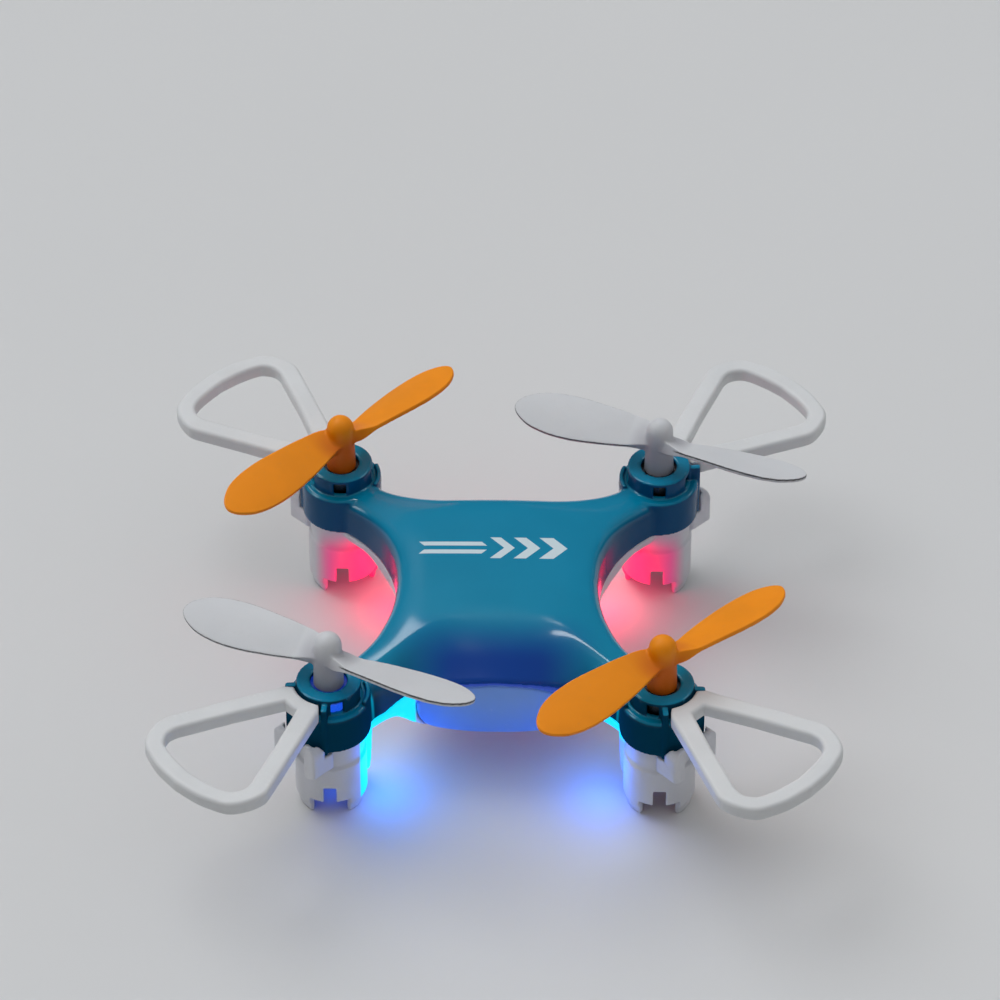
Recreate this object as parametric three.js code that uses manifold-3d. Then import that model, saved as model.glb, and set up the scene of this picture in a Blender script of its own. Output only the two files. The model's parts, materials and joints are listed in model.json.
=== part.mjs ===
// Mini palm drone: a small four-rotor toy aircraft with an X-shaped two-part
// shell, four motor pods with feet, clip-in loop guards, two-blade propellers
// and the electronics inside.
//
// Millimetres, +Z up. Origin on the ground plane under the feet, midway between
// the four motor axes. The nose points to -Y. In part names "left" is -X and
// "right" is +X, as seen by a viewer who looks at the nose.

import * as THREE from 'three';
import { mergeVertices } from 'three/addons/utils/BufferGeometryUtils.js';
import Module from 'manifold-3d';

const { Manifold, Mesh, setup } = await Module().then((wasm) => {
  wasm.setup();
  return wasm;
});
const { degToRad, radToDeg } = THREE.MathUtils;

// --------------------------------------------------------------- materials
// Metalness is 0 where it isn't given.
const MATERIALS = {
  whiteShell: { color: 0xdedfe1, roughness: 0.45 },
  blueShell: { color: 0x0f7899, roughness: 0.16 },
  noseCover: { color: 0xd9def2, roughness: 0.35 },
  orange: { color: 0xde841c, roughness: 0.5 },
  steel: { color: 0xb8bcc0, roughness: 0.3, metalness: 1 },
  dark: { color: 0x1c1e21, roughness: 0.5 },
  coil: { color: 0xb06a38, roughness: 0.4, metalness: 0.8 },
  blueLamp: { color: 0x3a6cff, roughness: 0.3 },
  redLamp: { color: 0xff2c50, roughness: 0.3 },
  redWire: { color: 0xb02020, roughness: 0.5 },
  blueWire: { color: 0x2040a0, roughness: 0.5 },
  blackWire: { color: 0x151515, roughness: 0.5 },
  antenna: { color: 0xd8d8d8, roughness: 0.5 },
  board: { color: 0x0d4a2c, roughness: 0.4 },
  battery: { color: 0xc9ccd0, roughness: 0.35, metalness: 0.4 },
  pad: { color: 0x2b2c2e, roughness: 0.9 },
  socket: { color: 0xe8e4d8, roughness: 0.5 },
  plug: { color: 0xf2f0ea, roughness: 0.5 },
  switchBody: { color: 0x9fa3a6, roughness: 0.35, metalness: 0.9 },
  chargingSocket: { color: 0xc4c6c8, roughness: 0.35, metalness: 0.9 },
};

// ------------------------------------------------------- driving dimensions
const POD_OFFSET = 19.0;       // motor axis from the centre, along X and along Y
const PART_Z = 10.85;          // lower edge of the upper shell
const GAP_Z = 0.10;            // gap between the two shells
const LOWER_TOP_Z = PART_Z - GAP_Z;
const WALL = 1.0;              // shell wall

const MOTOR_R = 3.0;
const MOTOR_TOP = 17.2;
const MOTOR_LENGTH = 12.0;
const MOTOR_BOTTOM = MOTOR_TOP - MOTOR_LENGTH;
const SHAFT_R = 0.40;
const BORE_R = MOTOR_R + 0.2;  // motor bore in both shells

const POD_SEGMENTS = 20;
const POD_CORE_R = 2.9;        // pod profiles start here; the bore is cut afterwards
const SHOULDER_Z = 15.7;       // top of the outer sleeve
const RING_R = 3.74;           // raised ring on top of the sleeve
const LIP_Z = 17.4;            // underside of the ring's lip
const FRONT_RIM_Y = -13.6;     // inner limit of the raised front rim
const CLEAR_Y = -20;           // ahead of everything that is cut at the nose

const PODS = [
  { name: 'rear_left', signX: -1, signY: 1, propAngle: 46, propMaterial: 'orange' },
  { name: 'rear_right', signX: 1, signY: 1, propAngle: -20.4, propMaterial: 'whiteShell' },
  { name: 'front_left', signX: -1, signY: -1, propAngle: -24.1, propMaterial: 'whiteShell' },
  { name: 'front_right', signX: 1, signY: -1, propAngle: 41, propMaterial: 'orange' },
].map((pod) => ({
  ...pod,
  x: pod.signX * POD_OFFSET,
  y: pod.signY * POD_OFFSET,
  outward: radToDeg(Math.atan2(pod.signY, pod.signX)),
}));

const SCREW_X = 9.5;
const SCREW_Y = 5.0;
const SCREWS = [
  { name: 'front_left', x: -SCREW_X, y: -SCREW_Y },
  { name: 'front_right', x: SCREW_X, y: -SCREW_Y },
  { name: 'rear_left', x: -SCREW_X, y: SCREW_Y },
  { name: 'rear_right', x: SCREW_X, y: SCREW_Y },
];

// Opening for the power switch, in the belly and in the switch body
const SWITCH_SLOT_X = [-1.75, 1.75];
const SWITCH_SLOT_Y = [-11.65, -10.35];

// ------------------------------------------------------------------ helpers
// Closed geometry as a Manifold, turned right side out if it was inside out
function solid(geometry) {
  const bare = geometry.clone();
  for (const name of Object.keys(bare.attributes)) {
    if (name !== 'position') bare.deleteAttribute(name);
  }
  const merged = mergeVertices(bare, 1e-4);
  const triangles = [];
  for (let i = 0; i < merged.index.count; i += 3) {
    const [a, b, c] = merged.index.array.slice(i, i + 3);
    if (a !== b && b !== c && a !== c) triangles.push([a, b, c]);
  }
  const build = (list) => new Manifold(new Mesh({
    numProp: 3,
    vertProperties: new Float32Array(merged.attributes.position.array),
    triVerts: new Uint32Array(list.flat()),
  }));
  const body = build(triangles);
  return body.volume() < 0 ? build(triangles.map(([a, b, c]) => [b, a, c])) : body;
}

function geometryOf(body) {
  const mesh = body.getMesh();
  const positions = new Float32Array(mesh.vertProperties);
  const geometry = new THREE.BufferGeometry();
  geometry.setAttribute('position', new THREE.BufferAttribute(positions, 3));
  geometry.setIndex(new THREE.BufferAttribute(new Uint32Array(mesh.triVerts), 1));
  geometry.computeVertexNormals();
  return geometry;
}

const union = (list) => list.reduce((a, b) => a.add(b));
const cut = (body, tools) => tools.reduce((rest, tool) => rest.subtract(tool), body);
const span = (half) => [-half, half];

// Boxes and cylinders take [low, high] ranges
function boxGeometry([x0, x1], [y0, y1], [z0, z1]) {
  const geometry = new THREE.BoxGeometry(x1 - x0, y1 - y0, z1 - z0);
  return geometry.translate((x0 + x1) / 2, (y0 + y1) / 2, (z0 + z1) / 2);
}
const box = (...ranges) => solid(boxGeometry(...ranges));

function cylinder(radius, [z0, z1], segments, x = 0, y = 0) {
  const geometry = new THREE.CylinderGeometry(radius, radius, z1 - z0, segments);
  return solid(geometry.rotateX(Math.PI / 2).translate(x, y, (z0 + z1) / 2));
}

// Closed profile [radius, z] turned about Z at (x, y)
function lathe(profile, segments, x = 0, y = 0) {
  const points = profile.map(([radius, z]) => new THREE.Vector2(radius, z));
  const geometry = new THREE.LatheGeometry(points, segments);
  return solid(geometry.rotateX(Math.PI / 2).translate(x, y, 0));
}

function extrusion(points, depth) {
  const shape = new THREE.Shape(points.map(([a, b]) => new THREE.Vector2(a, b)));
  return new THREE.ExtrudeGeometry(shape, { depth, bevelEnabled: false, curveSegments: 1 });
}

// Plan polygon [x, y] pushed up
const prism = (points, [z0, z1]) => solid(extrusion(points, z1 - z0).translate(0, 0, z0));

// Upright polygon [x, z] pushed along Y
const prismAlongY = (points, [y0, y1]) => (
  solid(extrusion(points, y1 - y0).rotateX(Math.PI / 2).translate(0, y1, 0))
);

// Azimuths are degrees from +X, counter-clockwise
function arc(radius, from, to, steps) {
  return Array.from({ length: steps + 1 }, (_, i) => {
    const angle = degToRad(from + (to - from) * i / steps);
    return [radius * Math.cos(angle), radius * Math.sin(angle)];
  });
}

function ringSector(inner, outer, from, to, zRange) {
  const steps = 6;
  const inside = arc(inner, from, to, steps).reverse();
  return prism([...arc(outer, from, to, steps), ...inside], zRange);
}

// Five-sided wire through 3D points
function wire(points, radius, steps) {
  const vectors = points.map((point) => new THREE.Vector3(...point));
  const extrudePath = new THREE.CatmullRomCurve3(vectors, false, 'centripetal');
  const section = new THREE.Shape(Array.from({ length: 5 }, (_, i) => {
    const angle = i * Math.PI / 2.5;
    return new THREE.Vector2(radius * Math.cos(angle), radius * Math.sin(angle));
  }));
  return solid(new THREE.ExtrudeGeometry(section, { steps, extrudePath }));
}

// Smooth step from 0 at "from" to 1 at "to"
function smooth(from, to, value) {
  const t = Math.min(1, Math.max(0, (value - from) / (to - from)));
  return t * t * (3 - 2 * t);
}

// A pod's own frame has its origin on the motor axis at ground level, u (first
// coordinate) outward along the diagonal and v (second) across it.
const inPodFrame = (body, pod) => body.rotate([0, 0, pod.outward]).translate([pod.x, pod.y, 0]);
const onPodAxis = (body, pod) => body.translate([pod.x, pod.y, 0]);

// Block along a radius at an azimuth
const radialBlock = (azimuth, radii, halfWidth, zRange) => (
  box(radii, span(halfWidth), zRange).rotate([0, 0, azimuth])
);

// --------------------------------------------------------------- body shape
// Half outlines [x, y] in the +X +Y quadrant: the side runs from the waist to
// the arm, the two ends run from the centre line to the arm. The front one is
// mirrored to -Y.
const SIDE = [
  [11.8, 0], [12.0, 2.7], [12.45, 5.1], [13.15, 7.2], [13.95, 9.0],
  [14.9, 10.55], [15.9, 11.85], [17.0, 13.0], [18.3, 14.2],
];
const REAR = [
  [0, 14.9], [2.4, 14.9], [4.8, 14.9], [7.0, 15.0], [8.9, 15.3],
  [10.6, 15.8], [12.0, 16.35], [13.2, 17.0], [14.3, 17.8],
];
const FRONT = [
  [0, 15.75], [2.4, 15.7], [4.8, 15.5], [7.0, 15.25], [8.9, 15.15],
  [10.6, 15.6], [12.0, 16.5], [13.2, 17.5], [14.3, 18.6],
];
const SPANS = 6;               // spans along each half outline
const ARM_END = 17.0;          // x and y where the arm spine ends, inside the bore

const DECK_Z = 17.25;          // top of the deck at the centre
const DECK_FRONT_Y = 5.7;      // the deck slopes down to the nose beyond this
const EDGE_TOP_Z = 15.3;       // side and rear edge of the upper shell
const EDGE_ROUND = 2.0;        // width of the rounding there
const BELLY_Z = 6.0;           // flat underside
const HULL_EDGE_Z = 10.05;     // side and rear lower edge of the hull
const HULL_ROUND = 3.6;        // widest rounding of the hull's edge
const NOSE_HALF = 9.2;         // half width of the nose opening
const NOSE_LOW_Z = 6.45;       // lower edge of the hull at the nose's centre
const NOSE_CORNER_Z = 7.9;     // the same at the opening's corners

function resample(points) {
  const vectors = points.map(([x, y]) => new THREE.Vector3(x, y, 0));
  const curve = new THREE.CatmullRomCurve3(vectors, false, 'centripetal');
  return Array.from({ length: SPANS + 1 }, (_, i) => curve.getPoint(i / SPANS));
}
const SIDE_CURVE = resample(SIDE);
const REAR_CURVE = resample(REAR);
const FRONT_CURVE = resample(FRONT);

// Height of the arch over the nose opening
const archZ = (x) => Math.max(PART_Z, 14.3 - 0.0213 * x * x);

// Lower edge of the hull along the front
function frontLowZ(x) {
  const away = Math.abs(x);
  if (away < NOSE_HALF) {
    return NOSE_LOW_Z + (NOSE_CORNER_Z - NOSE_LOW_Z) * Math.pow(away / NOSE_HALF, 4);
  }
  return NOSE_CORNER_Z + (9.95 - NOSE_CORNER_Z) * smooth(NOSE_HALF, 11.6, away);
}

// Nearly flat deck that falls gently along the arms
function crestZ(x, y) {
  const radius = Math.hypot(x, y);
  return DECK_Z - 0.12 * (radius / 12) ** 2 - 0.85 * smooth(11, 23, radius);
}

// Elliptic rounding: 0 at the edge, 1 from "width" inwards
function rounding(distance, width) {
  const left = Math.max(0, 1 - distance / width);
  return Math.sqrt(1 - left * left);
}

// Top of the upper shell
function topHeight({ x, y, fromEdge, isFront, edge, spine }) {
  const crest = crestZ(x, y);
  if (!isFront) return EDGE_TOP_Z + (crest - EDGE_TOP_Z) * rounding(fromEdge, EDGE_ROUND);
  // the slope to the nose turns into an elliptic shoulder along the arm
  const start = Math.max(DECK_FRONT_Y, spine.y);
  const t = Math.min(1, Math.max(0, (y - start) / (edge.y - start)));
  const armShare = smooth(6, 13, edge.x);
  const slope = Math.pow(t, 1.8);
  const shoulder = (1 - Math.sqrt(1 - (0.995 * t) ** 2)) / 0.9;
  const drop = (1 - armShare) * slope + armShare * shoulder;
  return crest + (archZ(edge.x) + 0.35 - crest) * Math.min(1, drop);
}

// Underside of the hull
function lowHeight({ x, y, fromEdge, isFront, edge, reach }) {
  const belly = BELLY_Z + 2.6 * smooth(15.5, 21, Math.hypot(x, y));
  const edgeZ = isFront ? frontLowZ(edge.x) : HULL_EDGE_Z;
  return belly + (edgeZ - belly) * (1 - rounding(fromEdge, Math.min(HULL_ROUND, reach)));
}

// Points from the outline in to the arm spine at one station. In "rings", near
// holds distances from the edge and far holds shares of what is left.
function hullStation(edge, index, isFront, { heightAt, inset, lift, rings }) {
  const along = ARM_END * Math.pow(index / SPANS, 1.05);
  const spine = { x: along, y: along };
  const reach = Math.hypot(spine.x - edge.x, spine.y - edge.y);
  const unitX = (spine.x - edge.x) / reach;
  const unitY = (spine.y - edge.y) / reach;
  const startX = edge.x + unitX * inset;
  const startY = edge.y + unitY * inset;
  const length = reach - inset;
  const squeeze = Math.min(1, length / (rings.near.at(-1) + 0.3));
  const near = rings.near.map((distance) => distance * squeeze);
  const last = near.at(-1);
  const far = rings.far.map((share) => last + (length - last) * share);
  const snap = (value) => Math.round(value * 1000) / 1000;
  return [...near, ...far].map((distance, i, all) => {
    const atSpine = i === all.length - 1;
    const x = atSpine ? spine.x : startX + unitX * distance;
    const y = atSpine ? spine.y : startY + unitY * distance;
    const fromEdge = atSpine ? reach : distance * (reach / length);
    const z = heightAt({ x, y, fromEdge, isFront, edge, spine, reach }) + lift;
    return [snap(x), snap(y), snap(z)];
  });
}

// Closed block between the plan outline (moved in by inset), a height function
// raised by lift, and a flat face at flatZ. facesDown: the flat face is on top.
function hullBlock({ heightAt, flatZ, rings, inset = 0, lift = 0, facesDown = false }) {
  const corners = [];
  const flat = ([x, y]) => [x, y, flatZ];
  const addPatch = (signX, signY, isEnd) => {
    const isFront = isEnd && signY < 0;
    const endCurve = isFront ? FRONT_CURVE : REAR_CURVE;
    const grid = (isEnd ? endCurve : SIDE_CURVE).map((edge, index) => (
      hullStation(edge, index, isFront, { heightAt, inset, lift, rings })
        .map(([x, y, z]) => [signX * x, signY * y, z])
    ));
    const reversed = (signX * signY < 0) !== isEnd !== facesDown;
    const addQuad = (...loop) => {
      const [a, b, c, d] = reversed ? loop.reverse() : loop;
      corners.push(a, b, c, a, c, d);
    };
    const addWall = (a, b) => addQuad(flat(a), flat(b), b, a);
    const ringCount = grid[0].length - 1;
    for (let j = 0; j < SPANS; j += 1) {
      for (let k = 0; k < ringCount; k += 1) {
        const quad = [grid[j][k], grid[j + 1][k], grid[j + 1][k + 1], grid[j][k + 1]];
        addQuad(...quad);
        addQuad(...quad.map(flat).reverse());
      }
      addWall(grid[j][0], grid[j + 1][0]);
    }
    for (let k = 0; k < ringCount; k += 1) addWall(grid[SPANS][k], grid[SPANS][k + 1]);
  };
  for (const [signX, signY] of [[1, 1], [-1, 1], [-1, -1], [1, -1]]) {
    addPatch(signX, signY, false);
    addPatch(signX, signY, true);
  }
  const geometry = new THREE.BufferGeometry();
  const positions = new Float32Array(corners.flat());
  geometry.setAttribute('position', new THREE.BufferAttribute(positions, 3));
  return solid(geometry);
}

const TOP_RINGS = { near: [0, 0.15, 0.6, 1.3, 2.2], far: [0.5, 1] };
const LOW_RINGS = { near: [0, 0.3, 1.2, 2.5], far: [0.4, 1] };
const INNER_RINGS = { near: [0, 0.9], far: [0.5, 1] };

const topOuter = hullBlock({ heightAt: topHeight, flatZ: PART_Z, rings: TOP_RINGS });
const topInner = hullBlock({
  heightAt: topHeight, flatZ: PART_Z - 0.9, rings: INNER_RINGS, inset: WALL, lift: -WALL,
});
const lowOuter = hullBlock({
  heightAt: lowHeight, flatZ: LOWER_TOP_Z, rings: LOW_RINGS, facesDown: true,
});
const lowInner = hullBlock({
  heightAt: lowHeight, flatZ: PART_Z + 0.5, rings: INNER_RINGS,
  inset: WALL, lift: 0.9, facesDown: true,
});

// Block under the arch that parts the upper shell from the lower one's front rim
function archBlock(drop, halfWidth, yRange) {
  const steps = 14;
  const points = Array.from({ length: steps + 1 }, (_, i) => {
    const x = -halfWidth + 2 * halfWidth * i / steps;
    return [x, archZ(x) - drop];
  });
  points.push([halfWidth, PART_Z - 3], [-halfWidth, PART_Z - 3]);
  return prismAlongY(points, yRange);
}

// -------------------------------------------------------------- upper shell
const SLEEVE_R = 4.75;         // outer sleeve around a pod
const RING_TOP = 18.0;
const RING_HOLE_R = 2.12;
const RIB_ANGLE = 40;          // ribs beside the guard's root, either side of u

const SLEEVE_PROFILE = [
  [POD_CORE_R, PART_Z], [SLEEVE_R, PART_Z], [SLEEVE_R, SHOULDER_Z - 0.35],
  [4.4, SHOULDER_Z], [RING_R, SHOULDER_Z], [RING_R, 17.8], [3.58, RING_TOP],
  [RING_HOLE_R, RING_TOP], [RING_HOLE_R, LIP_Z], [POD_CORE_R, LIP_Z], [POD_CORE_R, PART_Z],
];

function upperPod(pod) {
  const ribs = union(span(RIB_ANGLE).map((angle) => (
    radialBlock(angle, [3.3, 5.0], 0.35, [PART_Z - 0.35, 17.55])
  ))).subtract(cylinder(4.35, [PART_Z - 1, PART_Z], POD_SEGMENTS));
  // low lug on the sleeve, on the side that faces the pod across X
  const facing = pod.signX > 0 ? 180 : 0;
  const lug = ringSector(4.2, 4.72, facing - 26, facing + 26, [SHOULDER_Z - 0.6, 16.3]);
  const sleeve = lathe(SLEEVE_PROFILE, POD_SEGMENTS).add(ribs);
  return inPodFrame(sleeve, pod).add(onPodAxis(lug, pod));
}

function upperPodCuts(pod) {
  const bore = cylinder(BORE_R, [PART_Z - 1, LIP_Z], POD_SEGMENTS);
  const windows = [-134, -62, 62, 134].map((azimuth) => (
    radialBlock(azimuth, [2.6, 4.1], 0.72, [SHOULDER_Z + 0.25, LIP_Z + 0.1])
  ));
  const clipPocket = ringSector(3.8, 4.5, -25, 25, [12.9, 16.6]);
  const wirePassage = box([-6.6, -2.6], span(1.2), [PART_Z - 1, 14.3]);
  return [bore, ...windows, clipPocket, wirePassage].map((tool) => inPodFrame(tool, pod));
}

function upperShell() {
  const body = union([
    topOuter.subtract(topInner),
    ...PODS.map(upperPod),
    ...SCREWS.map(({ x, y }) => cylinder(1.45, [11.15, 15.6], 16, x, y)),
  ]);
  return cut(body, [
    ...PODS.flatMap(upperPodCuts),
    ...SCREWS.map(({ x, y }) => cylinder(0.65, [11.0, 15.0], 12, x, y)),
    archBlock(0, 14.2, [CLEAR_Y, FRONT_RIM_Y]),
  ]);
}

// -------------------------------------------------------------- lower shell
const CUP_R = 4.17;
const CUP_NECK_R = 4.05;
const CUP_LEDGE_Z = 7.9;       // step from the cup to its neck
const CUP_FLOOR_Z = 2.9;
const CUP_BOTTOM_Z = 2.3;      // lower edge of the cup between the feet
const CUP_HOLE_R = 2.4;        // hole in the cup's floor
const FOOT_R = 3.8;
const FOOT_INNER_R = 3.05;
const NOTCH_TOP_Z = 4.5;       // square notch front and back
const NOTCH_HALF = 0.75;

const CUP_PROFILE = [
  [CUP_HOLE_R, CUP_BOTTOM_Z], [FOOT_INNER_R, CUP_BOTTOM_Z], [FOOT_INNER_R, 0],
  [FOOT_R, 0], [FOOT_R, 0.75], [CUP_R, 1.6],
  [CUP_R, CUP_LEDGE_Z - 0.1], [CUP_NECK_R, CUP_LEDGE_Z + 0.1], [CUP_NECK_R, LOWER_TOP_Z],
  [POD_CORE_R, LOWER_TOP_Z], [POD_CORE_R, CUP_FLOOR_Z],
  [CUP_HOLE_R, CUP_FLOOR_Z], [CUP_HOLE_R, CUP_BOTTOM_Z],
];
// One arm of the bracket [u, v] and the corner cut off its top [v, z]
const BRACKET_ARM = [
  [2.6, 2.65], [4.75, 2.65], [4.85, 2.5], [4.95, 1.55], [5.65, 1.55],
  [5.65, 2.9], [5.45, 3.3], [5.1, 3.42], [2.6, 3.42],
];
const BRACKET_CORNER = [
  [3.6, 12.5], [3.3, 11.5], [2.75, 12.1], [1.9, 12.36], [1.9, 13], [3.6, 13],
];
const BRACKET_Z = [7.4, 12.35];
// Rib on the inner side of a front cup, under the arm [u, z]
const INNER_RIB = [[-3.6, 1.75], [-3.6, 9.2], [-5.45, 9.2], [-5.1, 3.2], [-4.85, 1.75]];

// U-shaped bracket on the outside of the cup, open in the middle
function bracket() {
  const mirroredArm = BRACKET_ARM.map(([u, v]) => [u, -v]).reverse();
  const arms = prism(BRACKET_ARM, BRACKET_Z).add(prism(mirroredArm, BRACKET_Z));
  const corners = [-1, 1].map((side) => (
    prismAlongY(BRACKET_CORNER.map(([v, z]) => [side * v, z]), [-7, -1]).rotate([0, 0, 90])
  ));
  return cut(arms, [...corners, cylinder(5.2, [PART_Z - 0.45, 14], POD_SEGMENTS)]);
}

function lowerPod(pod) {
  const parts = [
    onPodAxis(lathe(CUP_PROFILE, POD_SEGMENTS), pod),
    inPodFrame(bracket(), pod),
  ];
  if (pod.signY < 0) parts.push(inPodFrame(prismAlongY(INNER_RIB, span(1.5)), pod));
  return union(parts);
}

// Wedge that clears the cup's foot. Azimuths run from the pod's outer Y side
// (front of a front pod, rear of a rear pod) towards its outer X side.
function footGap(pod, from, to) {
  const toWorld = (azimuth) => pod.signY * (90 - pod.signX * azimuth);
  const [low, high] = [toWorld(from), toWorld(to)].sort((a, b) => a - b);
  const steps = Math.max(2, Math.ceil((high - low) / 20));
  return onPodAxis(prism([[0, 0], ...arc(7, low, high, steps)], [-1, CUP_BOTTOM_Z]), pod);
}

function lowerPodCuts(pod) {
  const wireChannel = box([-3.75, -2.6], span(0.95), [CUP_FLOOR_Z + 0.2, PART_Z + 1]);
  return [
    cylinder(BORE_R, [CUP_FLOOR_Z, PART_Z + 1], POD_SEGMENTS, pod.x, pod.y),
    footGap(pod, -35, 35),
    footGap(pod, 145, 260),
    onPodAxis(box(span(NOTCH_HALF), span(6), [1, NOTCH_TOP_Z]), pod),
    inPodFrame(wireChannel, pod),
  ];
}

// Oval nose opening, pushed along Y
function noseOval(grow, yRange) {
  const halfWidth = NOSE_HALF + grow;
  const steps = 16;
  const pointAt = (x, limitZ) => {
    const middle = (archZ(x) + frontLowZ(x)) / 2;
    const fullness = Math.sqrt(Math.max(0, 1 - Math.pow(Math.abs(x) / halfWidth, 4)));
    return [x, middle + (limitZ - middle) * fullness];
  };
  const stations = Array.from({ length: steps + 1 }, (_, i) => (
    -halfWidth * Math.cos(Math.PI * i / steps)
  ));
  const upperEdge = stations.map((x) => pointAt(x, archZ(x) - GAP_Z - 0.35 + grow));
  const lowerEdge = stations.slice(1, -1).reverse().map((x) => pointAt(x, 5.2));
  return prismAlongY([...upperEdge, ...lowerEdge], yRange);
}

function lowerShell() {
  const frontRim = hullBlock({ heightAt: topHeight, flatZ: PART_Z - 0.6, rings: TOP_RINGS })
    .subtract(topInner)
    .intersect(archBlock(GAP_Z, 14.1, [CLEAR_Y, FRONT_RIM_Y - 0.1]));
  const body = union([
    lowOuter.subtract(lowInner),
    frontRim,
    ...PODS.map(lowerPod),
    ...SCREWS.map(({ x, y }) => cylinder(1.65, [6.4, 10.95], 16, x, y)),
  ]);
  return cut(body, [
    ...PODS.flatMap(lowerPodCuts),
    ...SCREWS.map(({ x, y }) => cylinder(0.75, [5, 12], 12, x, y)),
    ...SCREWS.map(({ x, y }) => cylinder(1.35, [5, 8.0], 16, x, y)),     // head recess
    noseOval(0.12, [CLEAR_Y, FRONT_RIM_Y + 0.3]),
    box(SWITCH_SLOT_X, SWITCH_SLOT_Y, [5, 8]),
    box(span(1.7), [12.5, 18], [9.05, 10.35]),     // charging socket opening
  ]);
}

// Cover that fills the nose opening, cut from the wall of both shells
function noseCover() {
  const partBridge = box(span(13), [-15.2, -13], [10.5, 11.2]);
  return topOuter.add(lowOuter).add(partBridge)
    .subtract(topInner)
    .subtract(lowInner)
    .intersect(box(span(12), [CLEAR_Y, -13.4], [5, archZ(0)]))
    .intersect(noseOval(0, [CLEAR_Y, FRONT_RIM_Y]))
    .subtract(box(span(20), [CLEAR_Y, 0], [0, BELLY_Z]));
}

// ------------------------------------------------------------------- guards
const GUARD_TOP = 17.85;
const GUARD_HEIGHT = 1.95;
const GUARD_BOTTOM = GUARD_TOP - GUARD_HEIGHT;
const GUARD_EDGE = 0.62;       // rounding of the guard's edges

// Half outlines [u, v] in the pod's frame: the first hugs the ring at the root
// and then follows the loop's outer side, the second is the hole
const GUARD_OUTLINE = [
  [3.99, 0], [3.9, 0.85], [3.62, 1.7], [3.42, 2.1],
  [4.2, 3.0], [16.7, 8.4], [17.5, 8.62], [18.4, 8.6], [19.6, 8.3],
  [20.9, 7.7], [21.9, 6.8], [22.6, 5.2], [23.2, 3.1], [23.5, 0],
];
const GUARD_HOLE = [
  [5.9, 0.9], [11.3, 3.45], [16.5, 5.65], [17.6, 6.12], [18.7, 6.25],
  [19.7, 5.8], [20.4, 4.9], [20.95, 2.7], [21.25, 0],
];

// Mirrors a half outline in v and moves it in by a distance (out if negative)
function offsetLoop(half, distance) {
  const mirrored = half.toReversed().filter(([, v]) => v !== 0).map(([u, v]) => [u, -v]);
  const loop = [...half, ...mirrored].map(([u, v]) => new THREE.Vector2(u, v));
  const turn = Math.sign(THREE.ShapeUtils.area(loop));
  const normal = (a, b) => new THREE.Vector2(b.y - a.y, a.x - b.x).normalize();
  return loop.map((point, i) => {
    const before = normal(loop.at(i - 1), point);
    const after = normal(point, loop[(i + 1) % loop.length]);
    const mean = before.clone().add(after).normalize();
    const miter = Math.min(1.6, 1 / Math.max(0.3, mean.dot(before)));
    return point.clone().addScaledVector(mean, -turn * distance * miter);
  });
}

function guard() {
  // the bevel grows the section again by GUARD_EDGE
  const shape = new THREE.Shape(offsetLoop(GUARD_OUTLINE, GUARD_EDGE));
  shape.holes.push(new THREE.Path(offsetLoop(GUARD_HOLE, -GUARD_EDGE).reverse()));
  const loop = new THREE.ExtrudeGeometry(shape, {
    depth: GUARD_HEIGHT - 2 * GUARD_EDGE,
    bevelEnabled: true,
    bevelThickness: GUARD_EDGE,
    bevelSize: GUARD_EDGE,
    bevelSegments: 2,
    curveSegments: 1,
  }).translate(0, 0, GUARD_BOTTOM + GUARD_EDGE);
  const clip = ringSector(3.96, 4.34, -22, 22, [13.3, 16.9]);
  return cut(solid(loop), [
    cylinder(4.98, [GUARD_BOTTOM - 1, SHOULDER_Z + 0.15], POD_SEGMENTS),
    cylinder(RING_R + 0.2, [10, 20], POD_SEGMENTS),
  ]).add(clip);
}

// --------------------------------------------------------------- propellers
const PROP_R = 18.4;
const BLADE_ROOT = 0.6;        // distance of the blade's inner end from the axis
const BLADE_Z = 21.6;
const HUB_PROFILE = [
  [0, 17.5], [1.75, 17.5], [1.6, 22.6], [1.6, 23.3], [1.38, 24.1], [0.8, 24.7], [0, 24.9],
];
// [distance from the axis, half-chord of the raised edge, of the lowered edge]
const HALF_CHORDS = [
  [0.6, 1.5, 1.0], [1.6, 2.0, 1.2], [3.0, 2.45, 1.45], [5.0, 2.75, 1.9],
  [7.5, 3.0, 2.35], [10.0, 3.2, 2.68], [12.0, 3.22, 2.78], [14.0, 3.05, 2.66],
  [15.8, 2.6, 2.28], [17.0, 1.95, 1.7], [17.8, 1.3, 1.1], [18.25, 0.6, 0.5], [18.4, 0.1, 0.1],
];
const RAISED = 1;              // columns of that table
const LOWERED = 2;

function halfChord(x, column) {
  const next = HALF_CHORDS.findIndex(([station], i) => i > 0 && x <= station);
  const [a, b] = [HALF_CHORDS[next - 1], HALF_CHORDS[next]];
  return a[column] + (b[column] - a[column]) * (x - a[0]) / (b[0] - a[0]);
}

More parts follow.
